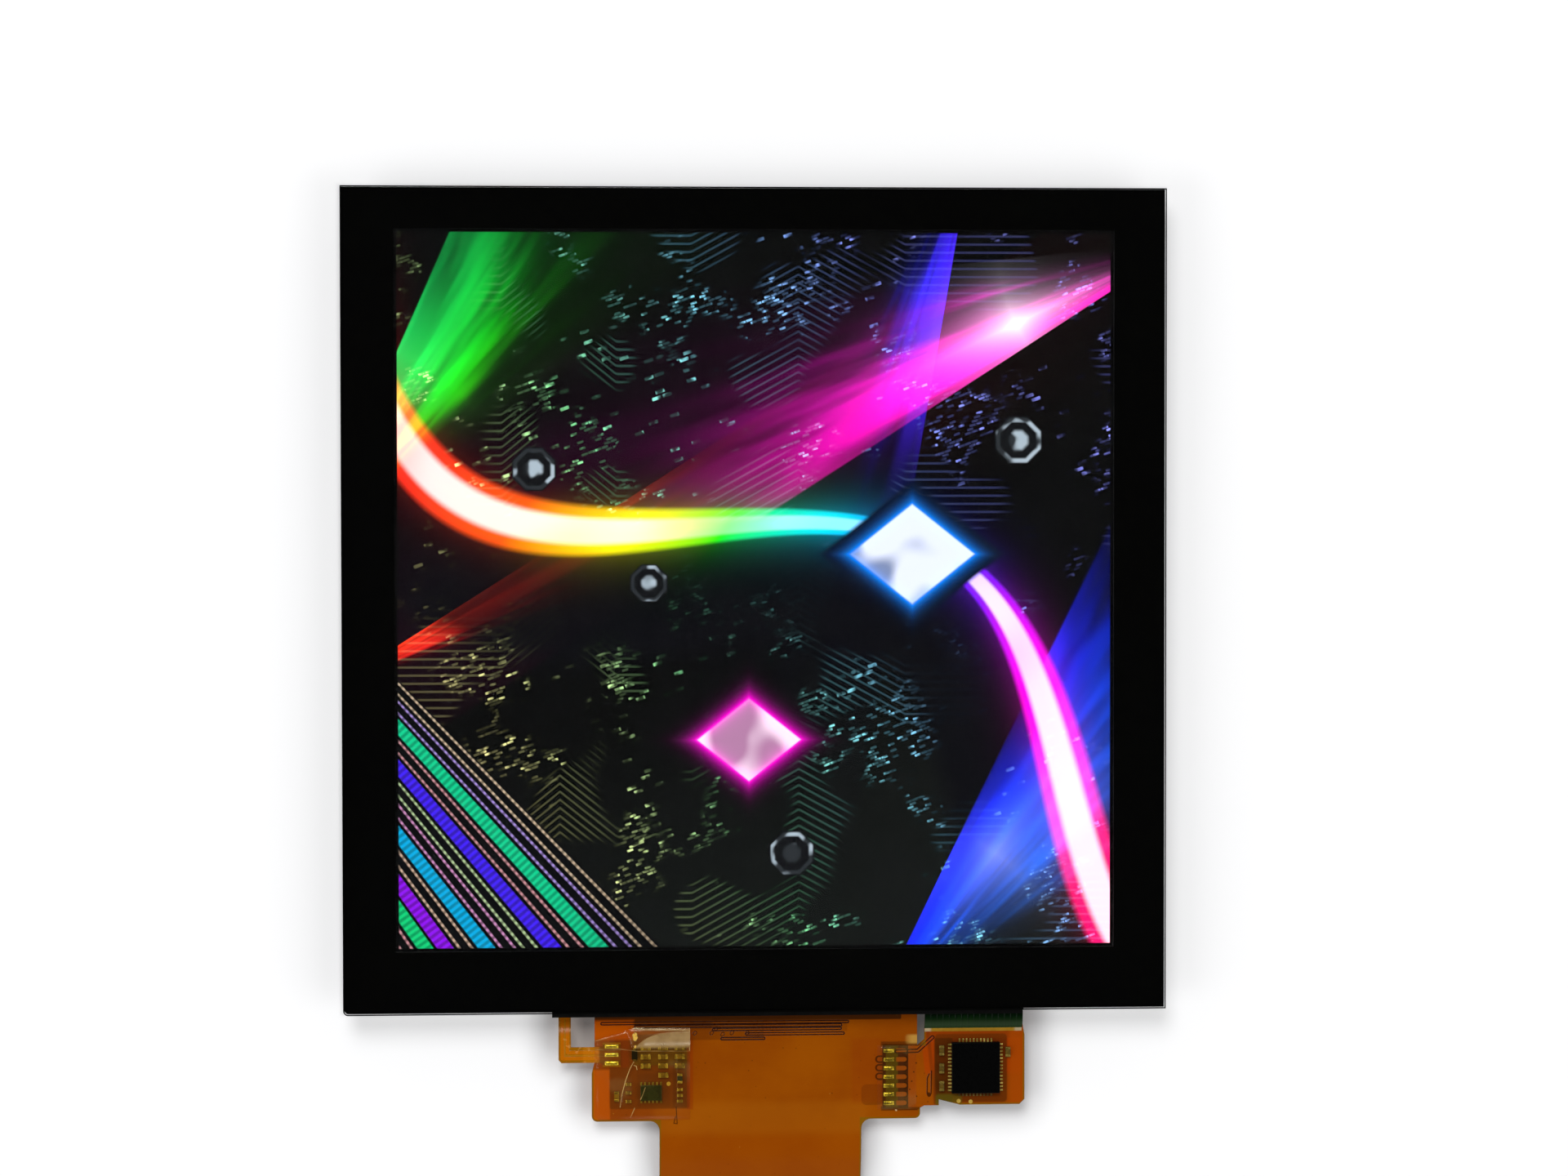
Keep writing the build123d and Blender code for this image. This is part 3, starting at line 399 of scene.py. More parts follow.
def signsOver(paint, shown, u, v):
    # lit diamonds, then dark studs with a glint
    for (au, av), size, tint in diamonds:
        away = abs(u - au) * 0.8 + abs(v - av)
        lit = away.fade(size, size * 0.93)
        inner = paint.noise(0.16, 1, 0.5, paint.point(paint.x, paint.y, au * 50)).fade(0.38, 0.55)
        edge = abs(away - size).glow(0.014)
        shown = paint.mix(away.fade(size * 1.5, size * 1.35), shown, (6, 6, 12))
        shown = paint.lay(shown, paint.ramp(tint, spectrum), edge * 1.2 + lit * 0.3)
        shown = paint.lay(shown, screen["white"], lit * inner.between(0.25, 1))
    for (au, av), size in studs:
        du, dv = abs(u - au), abs(v - av)
        away = (du | dv) | (du + dv) * 0.72
        ring = away.fade(size, size * 0.9) * away.fade(size * 0.72, size * 0.84)
        ridges = (ring + away.fade(size * 0.5, size * 0.3)) & 1
        sheen = paint.noise(0.45, 1, 0.5, paint.point(paint.x, paint.y, au * 31)).fade(0.48, 0.6)
        shown = paint.mix(away.fade(size * 1.06, size), shown, (16, 17, 20))
        shown = paint.lay(shown, screen["grey"], ridges * sheen.between(0.05, 1.1))
    return shown


def litPicture(name):
    paint = Paint(name)
    half, face = screen["half"], screen["face"]
    u, v = paint.x / half, paint.y / half
    slow = paint.noise(0.035)
    corner = (u * 0.35 - v * 0.9).fade(0.05, 1)  # the dark ground has cloudy corners
    shown = paint.scaled(screen["ground"], 0.01 + 0.3 * corner + 0.02 * slow)
    shown = beamsOver(paint, shown, u, v)
    shown = detailOver(paint, shown, u, v)
    shown = fanOver(paint, shown, u, v)
    shown = ribbonOver(paint, shown, u, v, slow)
    shown = signsOver(paint, shown, u, v)
    lit = (abs(paint.x) | abs(paint.y)).fade(half + 0.02, half - 0.02)
    lit = lit * paint.z.fade(face - 0.03, face - 0.01)
    return paint.finish(
        colour=paint.mix(paint.noise(0.8), *screen["film"]), rough=0.06 + 0.04 * paint.noise(6), level=0.1,
        light=paint.scaled(shown, lit), strength=screen["strength"])


# Flex circuits
amber = {
    "copper": (166, 84, 2), "copperDeep": (148, 68, 2), "bare": (128, 96, 10), "gap": (46, 17, 4),
    "brown": (96, 46, 6), "deep": (58, 30, 8), "olive": (96, 92, 20), "sheen": (206, 158, 70),
    "red": (150, 52, 6),
}
film = {"level": 0.2, "gloss": (0.13, 0.1)}
# etched slots of the main flex beside the lens: middle height, left end, right end
etchedRuns = [
    (-43.86, -15.6, 9.3), (-44.2, -12.2, 8.6), (-44.56, -4.3, 8.55), (-45.05, -0.95, 8.85),
    (-45.5, -3.45, 0.78),
]
etchedDots = [
    (-6.25, -44.95), (-4.55, -44.95), (-3.45, -45.1), (-4.1, -44.5), (-2.5, -44.95), (-0.95, -45),
]
slots = {"half": 0.12, "inner": 0.045, "outer": 0.075}
# the row of joints between touch flex and main flex, and the fingers beside them
fingers = {"pitch": 0.888, "top": -46.88, "end": 15.08, "colour": (158, 80, 12), "dark": (52, 18, 6)}


def amberFilm(paint, dark=amber["copperDeep"], light=amber["copper"]):
    # film over copper: slow tones, faint weave, dark specks and rare painted glints
    slow = paint.clouds(0.16, 3, 0.3, 0.7)
    weave = paint.noise(2.2, 2, 0.6, paint.point(paint.x * 0.5, paint.y * 2, 0))
    colour = paint.mix(slow * 0.7 + weave * 0.3, dark, light)
    specks = paint.cells(1.25).fade(0.11, 0.05) * paint.clouds(0.7, 0, 0.46, 0.56)
    colour = paint.mix(specks * 0.6, colour, amber["deep"])
    glints = paint.cells(0.62).fade(0.05, 0.02) * paint.clouds(0.5, 0, 0.5, 0.6)
    return paint.mix(glints * 0.5, colour, amber["sheen"])


def patches(paint, colour, marks):
    # flat marks one after another: a mask or the sides of a box, strength and colour
    for mask, strength, mark in marks:
        if isinstance(mask, tuple):
            mask = paint.box(*mask)
        colour = paint.mix(mask * strength, colour, mark)
    return colour


def filmSurface(paint, colour, relief, gloss):
    return paint.finish(colour=colour, rough=gloss, normal=relief, level=film["level"])


def filmGloss(paint, scale, detail):
    return film["gloss"][0] + film["gloss"][1] * paint.noise(scale, detail)


def slotLine(paint, height, left, right):
    # the dark outline of a long etched slot with round ends
    across = (abs(paint.x - (left + right) / 2) - (right - left) / 2) | 0
    outline = abs(paint.length(across, paint.y - height) - slots["half"])
    return outline.fade(slots["outer"], slots["inner"])


def mainFlexFinish(name):
    paint = Paint(name)
    copperArea = paint.box(-16.46, 16.49, -53.6, -30, 0.08, 0.4) | paint.box(-9.62, 10.5, -79.5, -52, 0.08, 0.3)
    # a painted sheen beside the slot and a painted glint dot below the joints
    sheen = paint.box(15.35, 16.45, -46, -45.45, 0.35, 0.1) * paint.x.fade(14.8, 16)
    glintDot = paint.away((14.22, -52.93), (14.25, -52.97)).fade(0.13, 0.03)
    colour = patches(paint, amberFilm(paint), [
        # redder towards the tail's end, and a paler band across the tail where it bends down: painted light of the
        # bend
        (paint.y.fade(-52.2, -57), 0.45, (166, 74, 0)),
        ((-9.8, 10.7, -54.6, -52.6, 1.2), 0.35, (176, 98, 14)),
        ((-16.38, -14.95, -53.5, -48.7, 0.25), 0.8, (204, 96, 5)),
        # the darker field over the stiffener that carries the small parts
        ((-14.75, -6.85, -52.45, -45.1, 0.22, 0.15), 0.62, amber["brown"]),
        ((-12.2, -6.95, -48, -46.1, 0.3), 0.4, amber["olive"]),
        ((-8.35, -6.95, -52.3, -47.6, 0.25), 0.3, (50, 26, 8)),
        ((-11.9, -8.9, -52.1, -49.2, 0.4), 0.2, (60, 24, 8)),
        ((-6.95, -6.45, -52.6, -44.6, 0.12), 0.5, amber["red"]),
        ((-16.3, -13, -48.2, -45.7, 0.3, 0.3), 0.4, amber["red"]),
        # film edge and shade beside the lens
        ((-17, 14.72, -43.62, -42, 0.1, 0.1), 0.85, amber["deep"]),
        ((-12.9, -4.6, -44.35, -43.5, 0.25), 0.65, amber["brown"]),
        ((-6.6, 0.7, -45.55, -43.6, 0.12), 0.45, amber["brown"]),
        ((0.7, 9.2, -44.75, -43.5, 0.12), 0.3, amber["brown"]),
        ((-16.3, -12.6, -45.3, -43.7, 0.4), 0.7, (206, 88, 2)),
        # round the joints with the touch flex
        ((10.75, 12.9, -52.35, -50.35, 0.12, 0.5), 0.45, amber["brown"]),
        ((10, 12.9, -51.9, -45.9, 0.6), 0.25, amber["red"]),
        # a dark line just above the touch flex's end, and painted shadow just below it
        ((12.75, 16.3, -46.35, -46, 0.1), 0.55, amber["deep"]),
        ((12.75, 16.4, -52.95, -52.6, 0.1), 0.55, amber["deep"]),
        (sheen, 0.8, amber["sheen"]),
        (glintDot, 0.9, (246, 214, 160)),
    ])
    etched = paint.union([slotLine(paint, *run) for run in etchedRuns])
    dots = paint.union([
        abs(paint.away((x, y), (x + 0.08, y + 0.1)) - 0.15).fade(0.07, 0.02) for x, y in etchedDots])
    lobes = paint.union([
        abs(paint.away((12.5, y), (12.9, y)) - 0.3).fade(0.13, 0.05) for y in (-47.75, -48.62, -49.5)])
    spoke = paint.stroke([(-8.18, -53.35), (-8.36, -54.05), (-8.02, -54.1), (-8.12, -52.4)], 0.035)
    colour = patches(paint, colour, [
        (etched, 1, amber["gap"]),
        (dots | lobes | spoke, 0.78, amber["gap"]),
        (1 - copperArea, 0.7, amber["bare"]),
        # the tail's back, without the copper showing
        (1 - paint.z.fade(0.17, 0.2), 1, (170, 96, 12)),
    ])
    relief = paint.bump(paint.noise(1.1, 3), 0.006, paint.bump(1 - (etched | dots), 0.012))
    return filmSurface(paint, colour, relief, filmGloss(paint, 1.6, 3) + 0.1 * etched)


def ledFlexFinish(name):
    # two conductors run down the limb, round the corner and along the arm
    paint = Paint(name)
    outer, inner, rim = (
        paint.stroke([(-x, -38), (-x, -y), (-13.6, -y)], half)
        for x, y, half in ((19.62, 47.35, 0.17), (19.1, 46.75, 0.17), (19.36, 47.05, 0.04)))
    glints = paint.clouds(1.7, 2, 0.6, 0.7) * paint.x.fade(-15.6, -16.4)
    colour = patches(paint, amberFilm(paint, (178, 94, 2), (204, 112, 4)), [
        (1 - (outer | inner), 0.62, amber["bare"]),
        (rim, 0.55, (196, 130, 26)),
        ((-17.4, -15.6, -47.9, -46.2, 0.3), 0.4, (214, 130, 20)),
        ((-15.75, -13.4, -47.9, -46.1, 0.3), 0.75, amber["brown"]),
        (glints, 0.3, (240, 176, 96)),
    ])
    relief = paint.bump(paint.noise(1.2, 3), 0.006, paint.bump(outer | inner, 0.014))
    return filmSurface(paint, colour, relief, filmGloss(paint, 1.8, 2))


def touchFlexFinish(name):
    paint = Paint(name)
    right = paint.x - (paint.y + 52) * -0.105     # follows the slanted edge of the tab's copper
    bareArea = 1 - (
        paint.box(12.95, 18.9, -52.6, -46.45, 0.1, 0.2) | paint.box(17.3, 27.12, -52.25, -30, 0.1, 0.4))
    row = paint.maths("PINGPONG", abs(paint.y - fingers["top"]), fingers["pitch"] / 2)
    reach = paint.length((paint.x - fingers["end"]) | 0, row)
    strips = reach.fade(0.29, 0.17) * paint.box(14.3, 15.6, -52.5, -46.4, 0.1)
    scallop = abs(reach - 0.31).fade(0.09, 0.02) * paint.box(15.05, 15.6, -52.5, -46.4, 0.05)
    run = abs(paint.awayFromLine([(14.3, -46.96), (16.45, -46.9), (17.95, -45.55)]) - 0.15).fade(0.1, 0.05)
    loop = paint.stroke([
        (17.6, -49.3), (17.42, -49.7), (17.4, -51.3), (17.62, -51.55), (17.8, -51.3), (17.84, -49)], 0.055)
    loop = loop | paint.away((17.56, -51.35), (17.6, -51.45)).fade(0.24, 0.14)
    pinholes = paint.union([
        paint.away((x, y), (x + 0.01, y)).fade(0.1, 0.05)
        for x, y in ((16.28, -48.15), (16.03, -49.06), (15.82, -50.01), (15.62, -50.84), (16.32, -51.55))])
    colour = patches(paint, amberFilm(paint, (150, 70, 2), (172, 84, 4)), [
        (right.fade(18.15, 18.45), 0.55, (150, 62, 4)),
        (right.fade(17.35, 17.6) * paint.y.fade(-49.6, -49), 0.6, (180, 60, 4)),
        ((18.3, 25.45, -52.1, -45.35, 0.25, 0.3), 0.78, (94, 42, 6)),
        ((18.22, 19.9, -52.3, -45.7, 0.2, 0.1), 0.55, (62, 36, 6)),
        ((17, 27.5, -45.6, -44.9, 0.12), 0.4, (120, 56, 6)),
        (paint.x.fade(25.5, 26.1), 0.75, (174, 74, 4)),
        ((12.9, 15.42, -52.75, -46.25, 0.1, 0.08), 0.92, fingers["dark"]),
        ((13.25, 14.35, -52.6, -46.4, 0.14), 0.7, (92, 80, 10)),
        (strips, 0.92, fingers["colour"]),
        (right.fade(17.95, 18.12) * right.fade(18.5, 18.3), 0.55, (120, 50, 8)),
        ((18.4, 20.8, -52.5, -51.5, 0.3, 0.2), 0.55, amber["olive"]),
        (run | loop | pinholes | scallop, 0.85, amber["gap"]),
        (bareArea, 0.7, paint.mix(paint.x.fade(16.4, 17.4), (74, 38, 6), amber["bare"])),
    ])
    relief = paint.bump(paint.noise(1.2, 3), 0.008, paint.bump(1 - (run | loop), 0.012))
    return filmSurface(paint, colour, relief, filmGloss(paint, 1.5, 3))


def greenCoverFinish(name):
    # dark cover film with the traces below just showing
    paint = Paint(name)
    lines = abs((paint.x * 1.6).part() - 0.5).fade(0.1, 0.2)
    colour = paint.mix(paint.noise(0.7, 3), (4, 22, 6), (8, 32, 10))
    colour = paint.mix(lines * 0.3 * paint.noise(0.3).fade(0.4, 0.6), colour, (18, 46, 14))
    # paler towards its lower edge, and darker along its upper edge beside the lens, where the darkening is painted
    # shade
    colour = paint.mix(paint.y.fade(-43.3, -44.3) * 0.6, colour, (34, 60, 18))
    colour = paint.mix(paint.y.fade(-43.5, -42.9) * 0.7, colour, (4, 12, 4))
    return filmSurface(paint, colour, paint.bump(lines, 0.008), 0.14 + 0.1 * paint.noise(3))


def goldFinish(name, ends=False):
    # plated copper, a little uneven, paler where it has been rubbed; with ends, the bar's two ends get a painted
    # highlight
    paint = Paint(name)
    colour = paint.mix(paint.noise(1.2, 3), (196, 140, 26), (224, 172, 52))
    if ends:
        # painted highlight on the two ends of the bar
        endHighlights = paint.x.fade(17.95, 17.6) | paint.x.fade(26.15, 26.5)
        colour = paint.mix(endHighlights * 0.8, colour, (238, 218, 176))
    worn = paint.clouds(0.5, 3, 0.5, 0.7)
    colour = paint.mix(worn * 0.25, colour, (236, 206, 130))
    relief = paint.bump(paint.noise(6, 3), 0.004)
    return paint.finish(colour=colour, rough=0.3 + 0.2 * paint.noise(4), metal=0.75, normal=relief)


def leadFinish(name):
    # gold leads: the upper row bright, the lower one in the chip's shade
    paint = Paint(name)
    colour = paint.mix(paint.clouds(1.6, 2, 0.35, 0.65), (150, 122, 44), (232, 204, 104))
    colour = paint.mix(paint.y.fade(-50.9, -51.2) * 0.8, colour, (70, 44, 6))
    relief = paint.bump(paint.noise(6), 0.004)
    return paint.finish(colour=colour, rough=0.3 + 0.2 * paint.noise(5), metal=0.5, normal=relief)


def solderFinish(name):
    # reflowed solder seen through amber film
    paint = Paint(name)
    colour = paint.mix(paint.clouds(3, 2, 0.35, 0.65), (206, 186, 62), (246, 236, 120))
    blots = paint.clouds(1.5, 2, 0.44, 0.58) * paint.x.fade(-2, 2)
    colour = paint.mix(blots * 0.75, colour, (96, 82, 4))
    relief = paint.bump(paint.noise(7), 0.02)
    return paint.finish(colour=colour, rough=0.2 + 0.2 * paint.noise(5), metal=0.85, normal=relief)


def tapeFinish(name, tint, veil, colour, creases):
    # clear amber tape: light goes through tinted, both faces mirror the room, with painted highlights along the
    # folds
    paint = Paint(name)
    # the taut stretch above the parts gets a painted reflection below an arch, under a painted highlight band along
    # its top
    inward = (-6.84 - paint.x) | 0
    arch = -44.62 - 0.03 * inward - 0.00166 * inward ** 4
    flapGlare = (paint.y - arch).fade(0.05, -0.16) * paint.y.fade(-46.45, -46.05)
    # painted highlight band along the top of the taut stretch
    hem = paint.stroke([(-12.9, -44.2), (-11.3, -44.48), (-6.6, -44.57)], 0.06, 0.09)
    # a painted highlight shaped like a drop, with a thin trail below it
    glintBreakup = paint.clouds(2.4, 2, 0.36, 0.56)
    drop = paint.away((-12.3, -45), (-12.22, -45.35)).fade(0.34, 0.16) * glintBreakup
    glintTrail = paint.away((-12.25, -46.12), (-12.27, -46.2)).fade(0.16, 0.04)
    wrinkle = paint.noise(0.35)
    foldGlare = paint.union([
        paint.stroke(points, half, half * 1.2) * strength for points, half, strength in creases])
    # a faint haze of the tape itself, then the painted highlights and reflections over it
    hazeAndGlare = veil + 0.05 * wrinkle.fade(0.5, 0.7)
    hazeAndGlare = hazeAndGlare + foldGlare * paint.clouds(1.1, 2, 0.38, 0.62).between(0.35, 1)
    hazeAndGlare = hazeAndGlare | (flapGlare * paint.clouds(0.6, 2, 0.35, 0.65).between(0.4, 0.64))
    hazeAndGlare = hazeAndGlare | (hem * 0.38) | ((drop | glintTrail) * 0.85)
    colour = paint.mix(flapGlare, colour, (198, 162, 108))
    colour = paint.mix(drop | glintTrail, colour, (255, 206, 84))
    relief = paint.bump(wrinkle, 0.05)
    through = paint.node("BsdfTransparent", {"Color": tint}).outputs[0]
    mirror = paint.surface(colour=(0.92, 0.8, 0.56, 1), metal=1, rough=0.09 + 0.1 * wrinkle, normal=relief)
    gloss = Number(paint, paint.node("Fresnel", {"IOR": 1.46, "Normal": relief}).outputs[0])
    gloss = gloss * (1 - Number(paint, paint.node("NewGeometry").outputs["Backfacing"]))
    clear = paint.node("MixShader", {0: gloss, 1: through, 2: mirror}).outputs[0]
    skin = paint.surface(colour=colour, rough=0.3, normal=relief)
    return paint.done(paint.node("MixShader", {0: hazeAndGlare & 1, 1: clear, 2: skin}).outputs[0])


def lensFinish(name):
    # polished glass with the faintest uneven gloss; its ground edge faces are painted black and matt, painted shade
    # in place of the glint they would catch
    paint = Paint(name)
    smear = paint.clouds(0.05, 3, 0.55, 0.75)
    clear = paint.surface(
        colour=(0.985, 0.992, 0.99, 1), glass=1, bend=1.5, rough=0.004 + 0.006 * smear)
    ground = paint.noise(9)
    paintedBlackEdge = paint.surface(
        colour=paint.mix(ground, (5, 5, 4), (12, 12, 11)), rough=0.35 + 0.2 * ground, level=0,
        normal=paint.bump(ground, 0.004))
    upright = abs(Number(paint, paint.node("SeparateXYZ", {
        0: paint.node("NewGeometry").outputs["True Normal"]}).outputs[2]))
    edge = upright.fade(0.995, 0.97)
    return paint.done(paint.node("MixShader", {0: edge, 1: clear, 2: paintedBlackEdge}).outputs[0])


# Raised folds of the component tape: their lines, height, half width, and how strong a painted highlight they get
tapeFolds = [
    ([(-12.42, -47.7), (-12.82, -48.45), (-13.23, -49.58), (-13.66, -51.16), (-13.8, -52.3)], 0.028, 0.1, 0.8),
    ([(-16.37, -46.45), (-13.85, -46.39), (-12.05, -46.61), (-6.7, -46.67)], 0.012, 0.09, 0.24),
    ([(-12.4, -48.05), (-12.15, -48.15), (-12.08, -48.5)], 0.03, 0.09, 0.85),
    ([(-12.34, -52.41), (-12.72, -53.3)], 0.03, 0.08, 0.55),
    ([(-13, -44.7), (-12.62, -45.35), (-12.5, -46.1)], 0.09, 0.22, 0.1),
    ([(-8.06, -47.2), (-8.02, -52)], 0.008, 0.07, 0.06),
    ([(-11.86, -45.5), (-10.92, -45.08), (-9.49, -44.88), (-6.7, -44.8)], 0.02, 0.08, 0),
    ([(-16.37, -45.6), (-14.23, -45.1), (-13, -44.75)], 0.03, 0.1, 0.26),
    ([(-11.74, -51.5), (-11.5, -51), (-11.25, -50.3)], 0.02, 0.08, 0.6),
]
# lines of painted highlight on the tape, along the folds and its right edge: points, half width, strength
tapeCreases = [(points, 0.028, creaseGlare) for points, rise, half, creaseGlare in tapeFolds if creaseGlare]
tapeCreases.append(([(-6.77, -44.4), (-6.76, -46.6)], 0.03, 0.6))

# Assigning the finishes
plainLooks = {
    # slot or node: dark tone, light tone, least and most roughness, grain, anything more
    "border_ink": ((3, 3, 2), (6, 6, 4), (0.35, 0.5), 1.2, {"level": 0}),
    "black_foam": ((14, 14, 15), (30, 30, 31), (0.85, 0.98), 3, {"relief": 0.05}),
    "cell_glass": ((120, 140, 138), (150, 168, 164), (0.05, 0.12), 0.3, {"relief": 0.001, "coat": 0.6}),
    "seal_resin": ((140, 134, 120), (170, 162, 146), (0.45, 0.6), 2, {"relief": 0.01}),
    "rear_film": ((92, 96, 98), (120, 124, 124), (0.2, 0.35), 0.8, {"relief": 0.002}),
    "silicon": ((50, 52, 56), (84, 86, 92), (0.08, 0.2), 1, {"metal": 0.6, "relief": 0.001}),
    "black_tape": ((6, 6, 5), (14, 14, 13), (0.5, 0.7), 2.4, {"level": 0.1}),
    "reflector": ((222, 224, 226), (240, 241, 242), (0.2, 0.35), 0.6, {"relief": 0.001, "coat": 0.4}),
    "white_frame": ((214, 212, 204), (232, 230, 224), (0.4, 0.55), 2, {"relief": 0.008}),
    "led_plastic": ((214, 212, 200), (236, 234, 226), (0.35, 0.5), 3, {}),
    "led_phosphor": ((222, 196, 60), (240, 220, 96), (0.25, 0.4), 4, {}),
    "brown_stiffener": ((84, 50, 22), (112, 68, 30), (0.45, 0.6), 2, {}),
    "ceramic_part": ((96, 70, 0), (132, 98, 2), (0.4, 0.6), 5, {"level": 0.2}),
    "dark_part": ((16, 18, 14), (34, 36, 26), (0.3, 0.5), 5, {}),
    "part_plating": ((130, 104, 16), (222, 192, 84), (0.25, 0.45), 2.4, {"metal": 0.7}),
    "chip_resin": ((2, 2, 2), (5, 5, 5), (0.3, 0.45), 6, {"relief": 0.003, "level": 0.05}),
    "contact_stiffener": ((150, 84, 16), (172, 100, 24), (0.35, 0.5), 1, {}),
    "test_pads": ((206, 160, 44), (240, 206, 100), (0.3, 0.5), 1.2, {"metal": 0.4}),
    "touch_capacitor_bodies": ((76, 58, 4), (98, 74, 8), (0.4, 0.6), 5, {"level": 0.2}),
    "touch_capacitor_ends": ((104, 86, 20), (150, 128, 50), (0.3, 0.5), 4, {"metal": 0.5}),
    "power_chip": ((24, 32, 14), (38, 48, 24), (0.2, 0.35), 4, {"level": 0.3}),
}
finishes = {
    key: plainFinish(key, dark, light, rough, grain, **more)
    for key, (dark, light, rough, grain, more) in plainLooks.items()}
shadedLooks = {
    # slot or node: what makes its finish, and from what
    "lens_glass": (lensFinish,),
    "clear_adhesive": (clearFinish, (0.9, 0.9, 0.9, 1), 0.001, 0.3, 0.003),
    "sensor_glass": (clearFinish, (0.8, 0.85, 0.85, 1), 0.002, 0.05, 0.003),
    "picture_film": (litPicture,),
    "liquid_crystal": (clearFinish, (0.5, 0.52, 0.5, 1), 0.35, 0.2, 0.1),
    "backlight_film": (clearFinish, (0.85, 0.87, 0.87, 1), 0.55, 0.35, 0.15),
    "guide_acrylic": (clearFinish, (0.9, 0.94, 0.93, 1), 0.45, 0.1, 0.1),
    "tray_metal": (rolledMetal, (176, 176, 174), (210, 210, 208)),
    "gold_contact": (goldFinish,),
    "solder": (solderFinish,),
    "amber_tape": (tapeFinish, (1, 0.955, 0.76, 1), 0.012, (206, 168, 100), tapeCreases),
    "amber_flex": (mainFlexFinish,),
    "green_cover": (greenCoverFinish,),
    "led_flex": (ledFlexFinish,),
    "touch_flex": (touchFlexFinish,),
    "touch_ground_bar": (goldFinish, True),
    "touch_controller_pins": (leadFinish,),
}
finishes.update({key: make(key, *values) for key, (make, *values) in shadedLooks.items()})
slotOf = {part["node"]: part["material_slot"] for part in frame["record"]["subparts"]}


def finishOf(nodeName):
    # the node's own finish, or else its slot's
    return finishes.get(nodeName) or finishes[slotOf[nodeName]]


def dress(thing, material):
    thing.data.materials.clear()
    thing.data.materials.append(material)


for nodeName, node in nodes.items():
    dress(node, finishOf(nodeName))
print("finishes made,", len(bpy.data.materials), "materials")


# Making pieces
broadFace = 0.2 * mm * mm
sharpFrom = math.radians(35)
merging = {"distance": 0.0005, "flat": math.radians(1)}


def newObject(name, data):
    made = bpy.data.objects.new(name, data)
    scene.collection.objects.link(made)
    return made


def meshObject(name, mesh):
    data = bpy.data.meshes.new(name)
    mesh.to_mesh(data)
    mesh.free()
    return newObject(name, data)


def addPiece(name, mesh, nodeName, broad=broadFace):
    # puts a finished mesh, in millimetres until here, in place of a node
    bmesh.ops.scale(mesh, vec=(mm, mm, mm), verts=mesh.verts)
    bmesh.ops.recalc_face_normals(mesh, faces=mesh.faces)
    piece = meshObject(name, mesh)
    dress(piece, finishOf(nodeName))
    piece.data.set_sharp_from_angle(angle=sharpFrom)
    for face in piece.data.polygons:  # the broad flat faces stay flat, so that they mirror straight
        face.use_smooth = face.area < broad
    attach(piece, "root")
    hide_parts(nodeName)


def meshOf(nodeName):
    # a merged copy of a CAD node's mesh, in millimetres, with its flat faces whole
    mesh = bmesh.new()
    mesh.from_mesh(nodes[nodeName].data)
    bmesh.ops.scale(mesh, vec=(1 / mm, 1 / mm, 1 / mm), verts=mesh.verts)
    bmesh.ops.remove_doubles(mesh, verts=mesh.verts, dist=merging["distance"])
    bmesh.ops.dissolve_limit(mesh, angle_limit=merging["flat"], verts=mesh.verts, edges=mesh.edges)
    return mesh


def roundEdges(mesh, edges, width, segments):
    bmesh.ops.bevel(
        mesh, geom=edges, offset=width, offset_type="OFFSET", segments=segments, profile=0.5,
        affect="EDGES", clamp_overlap=True, material=-1)


def breakEdges(mesh, width, segments, least=math.radians(30)):
    # rounds the sharp edges of a merged copy
    folds = [edge for edge in mesh.edges if len(edge.link_faces) == 2]
    roundEdges(mesh, [edge for edge in folds if edge.calc_face_angle(0) > least], width, segments)


def islandBoxes(nodeName):
    # the box of each separate solid of a node, in millimetres
    mesh = meshOf(nodeName)
    left = set(mesh.verts)
    boxes = []
    while left:
        group = [left.pop()]
        for vert in group:
            for edge in vert.link_edges:
                other = edge.other_vert(vert)
                if other in left:
                    left.remove(other)
                    group.append(other)
        low = Vector([min(vert.co[axis] for vert in group) for axis in range(3)])
        high = Vector([max(vert.co[axis] for vert in group) for axis in range(3)])
        boxes.append((low, high))
    mesh.free()
    return sorted(boxes, key=lambda pair: (round(pair[0].y, 3), round(pair[0].x, 3)))


# Lens
lens = {"polish": 0.035, "segments": 3, "foot": 0.01, "lift": 0.002}
lensMesh = meshOf("cover_glass")
breakEdges(lensMesh, lens["polish"], lens["segments"])
lensFoot = min(vert.co.z for vert in lensMesh.verts)
for vert in lensMesh.verts:
    if vert.co.z < lensFoot + lens["foot"]:
        vert.co.z += lens["lift"]
addPiece("lens", lensMesh, "cover_glass")

# Adhesive, a hair thinner than its gap, so that no two clear faces coincide
adhesive = {"squeeze": 0.94}
adhesiveMesh = meshOf("lens_adhesive")
heights = [vert.co.z for vert in adhesiveMesh.verts]
adhesiveMiddle = (min(heights) + max(heights)) / 2
for vert in adhesiveMesh.verts:
    vert.co.z = adhesiveMiddle + (vert.co.z - adhesiveMiddle) * adhesive["squeeze"]
addPiece("adhesiveLayer", adhesiveMesh, "lens_adhesive")
print("lens and adhesive made")

# Chips and small parts with their edges rounded
softParts = [
    # piece, node, edge, segments
    ("touchController", "touch_controller", 0.03, 2),
    ("powerChip", "power_chip", 0.05, 3),
    ("diodeBody", "diode", 0.04, 2),
    ("capacitorBodies", "capacitor_bodies", 0.03, 2),
    ("resistorBodies", "resistor_bodies", 0.02, 2),
    ("partEnds", "component_ends", 0.04, 2),
    ("touchCapacitorBodies", "touch_capacitor_bodies", 0.03, 2),
    ("touchCapacitorEnds", "touch_capacitor_ends", 0.04, 2),
]
for pieceName, nodeName, width, segments in softParts:
    partMesh = meshOf(nodeName)
    breakEdges(partMesh, width, segments)
    addPiece(pieceName, partMesh, nodeName)
print("chips and small parts made")


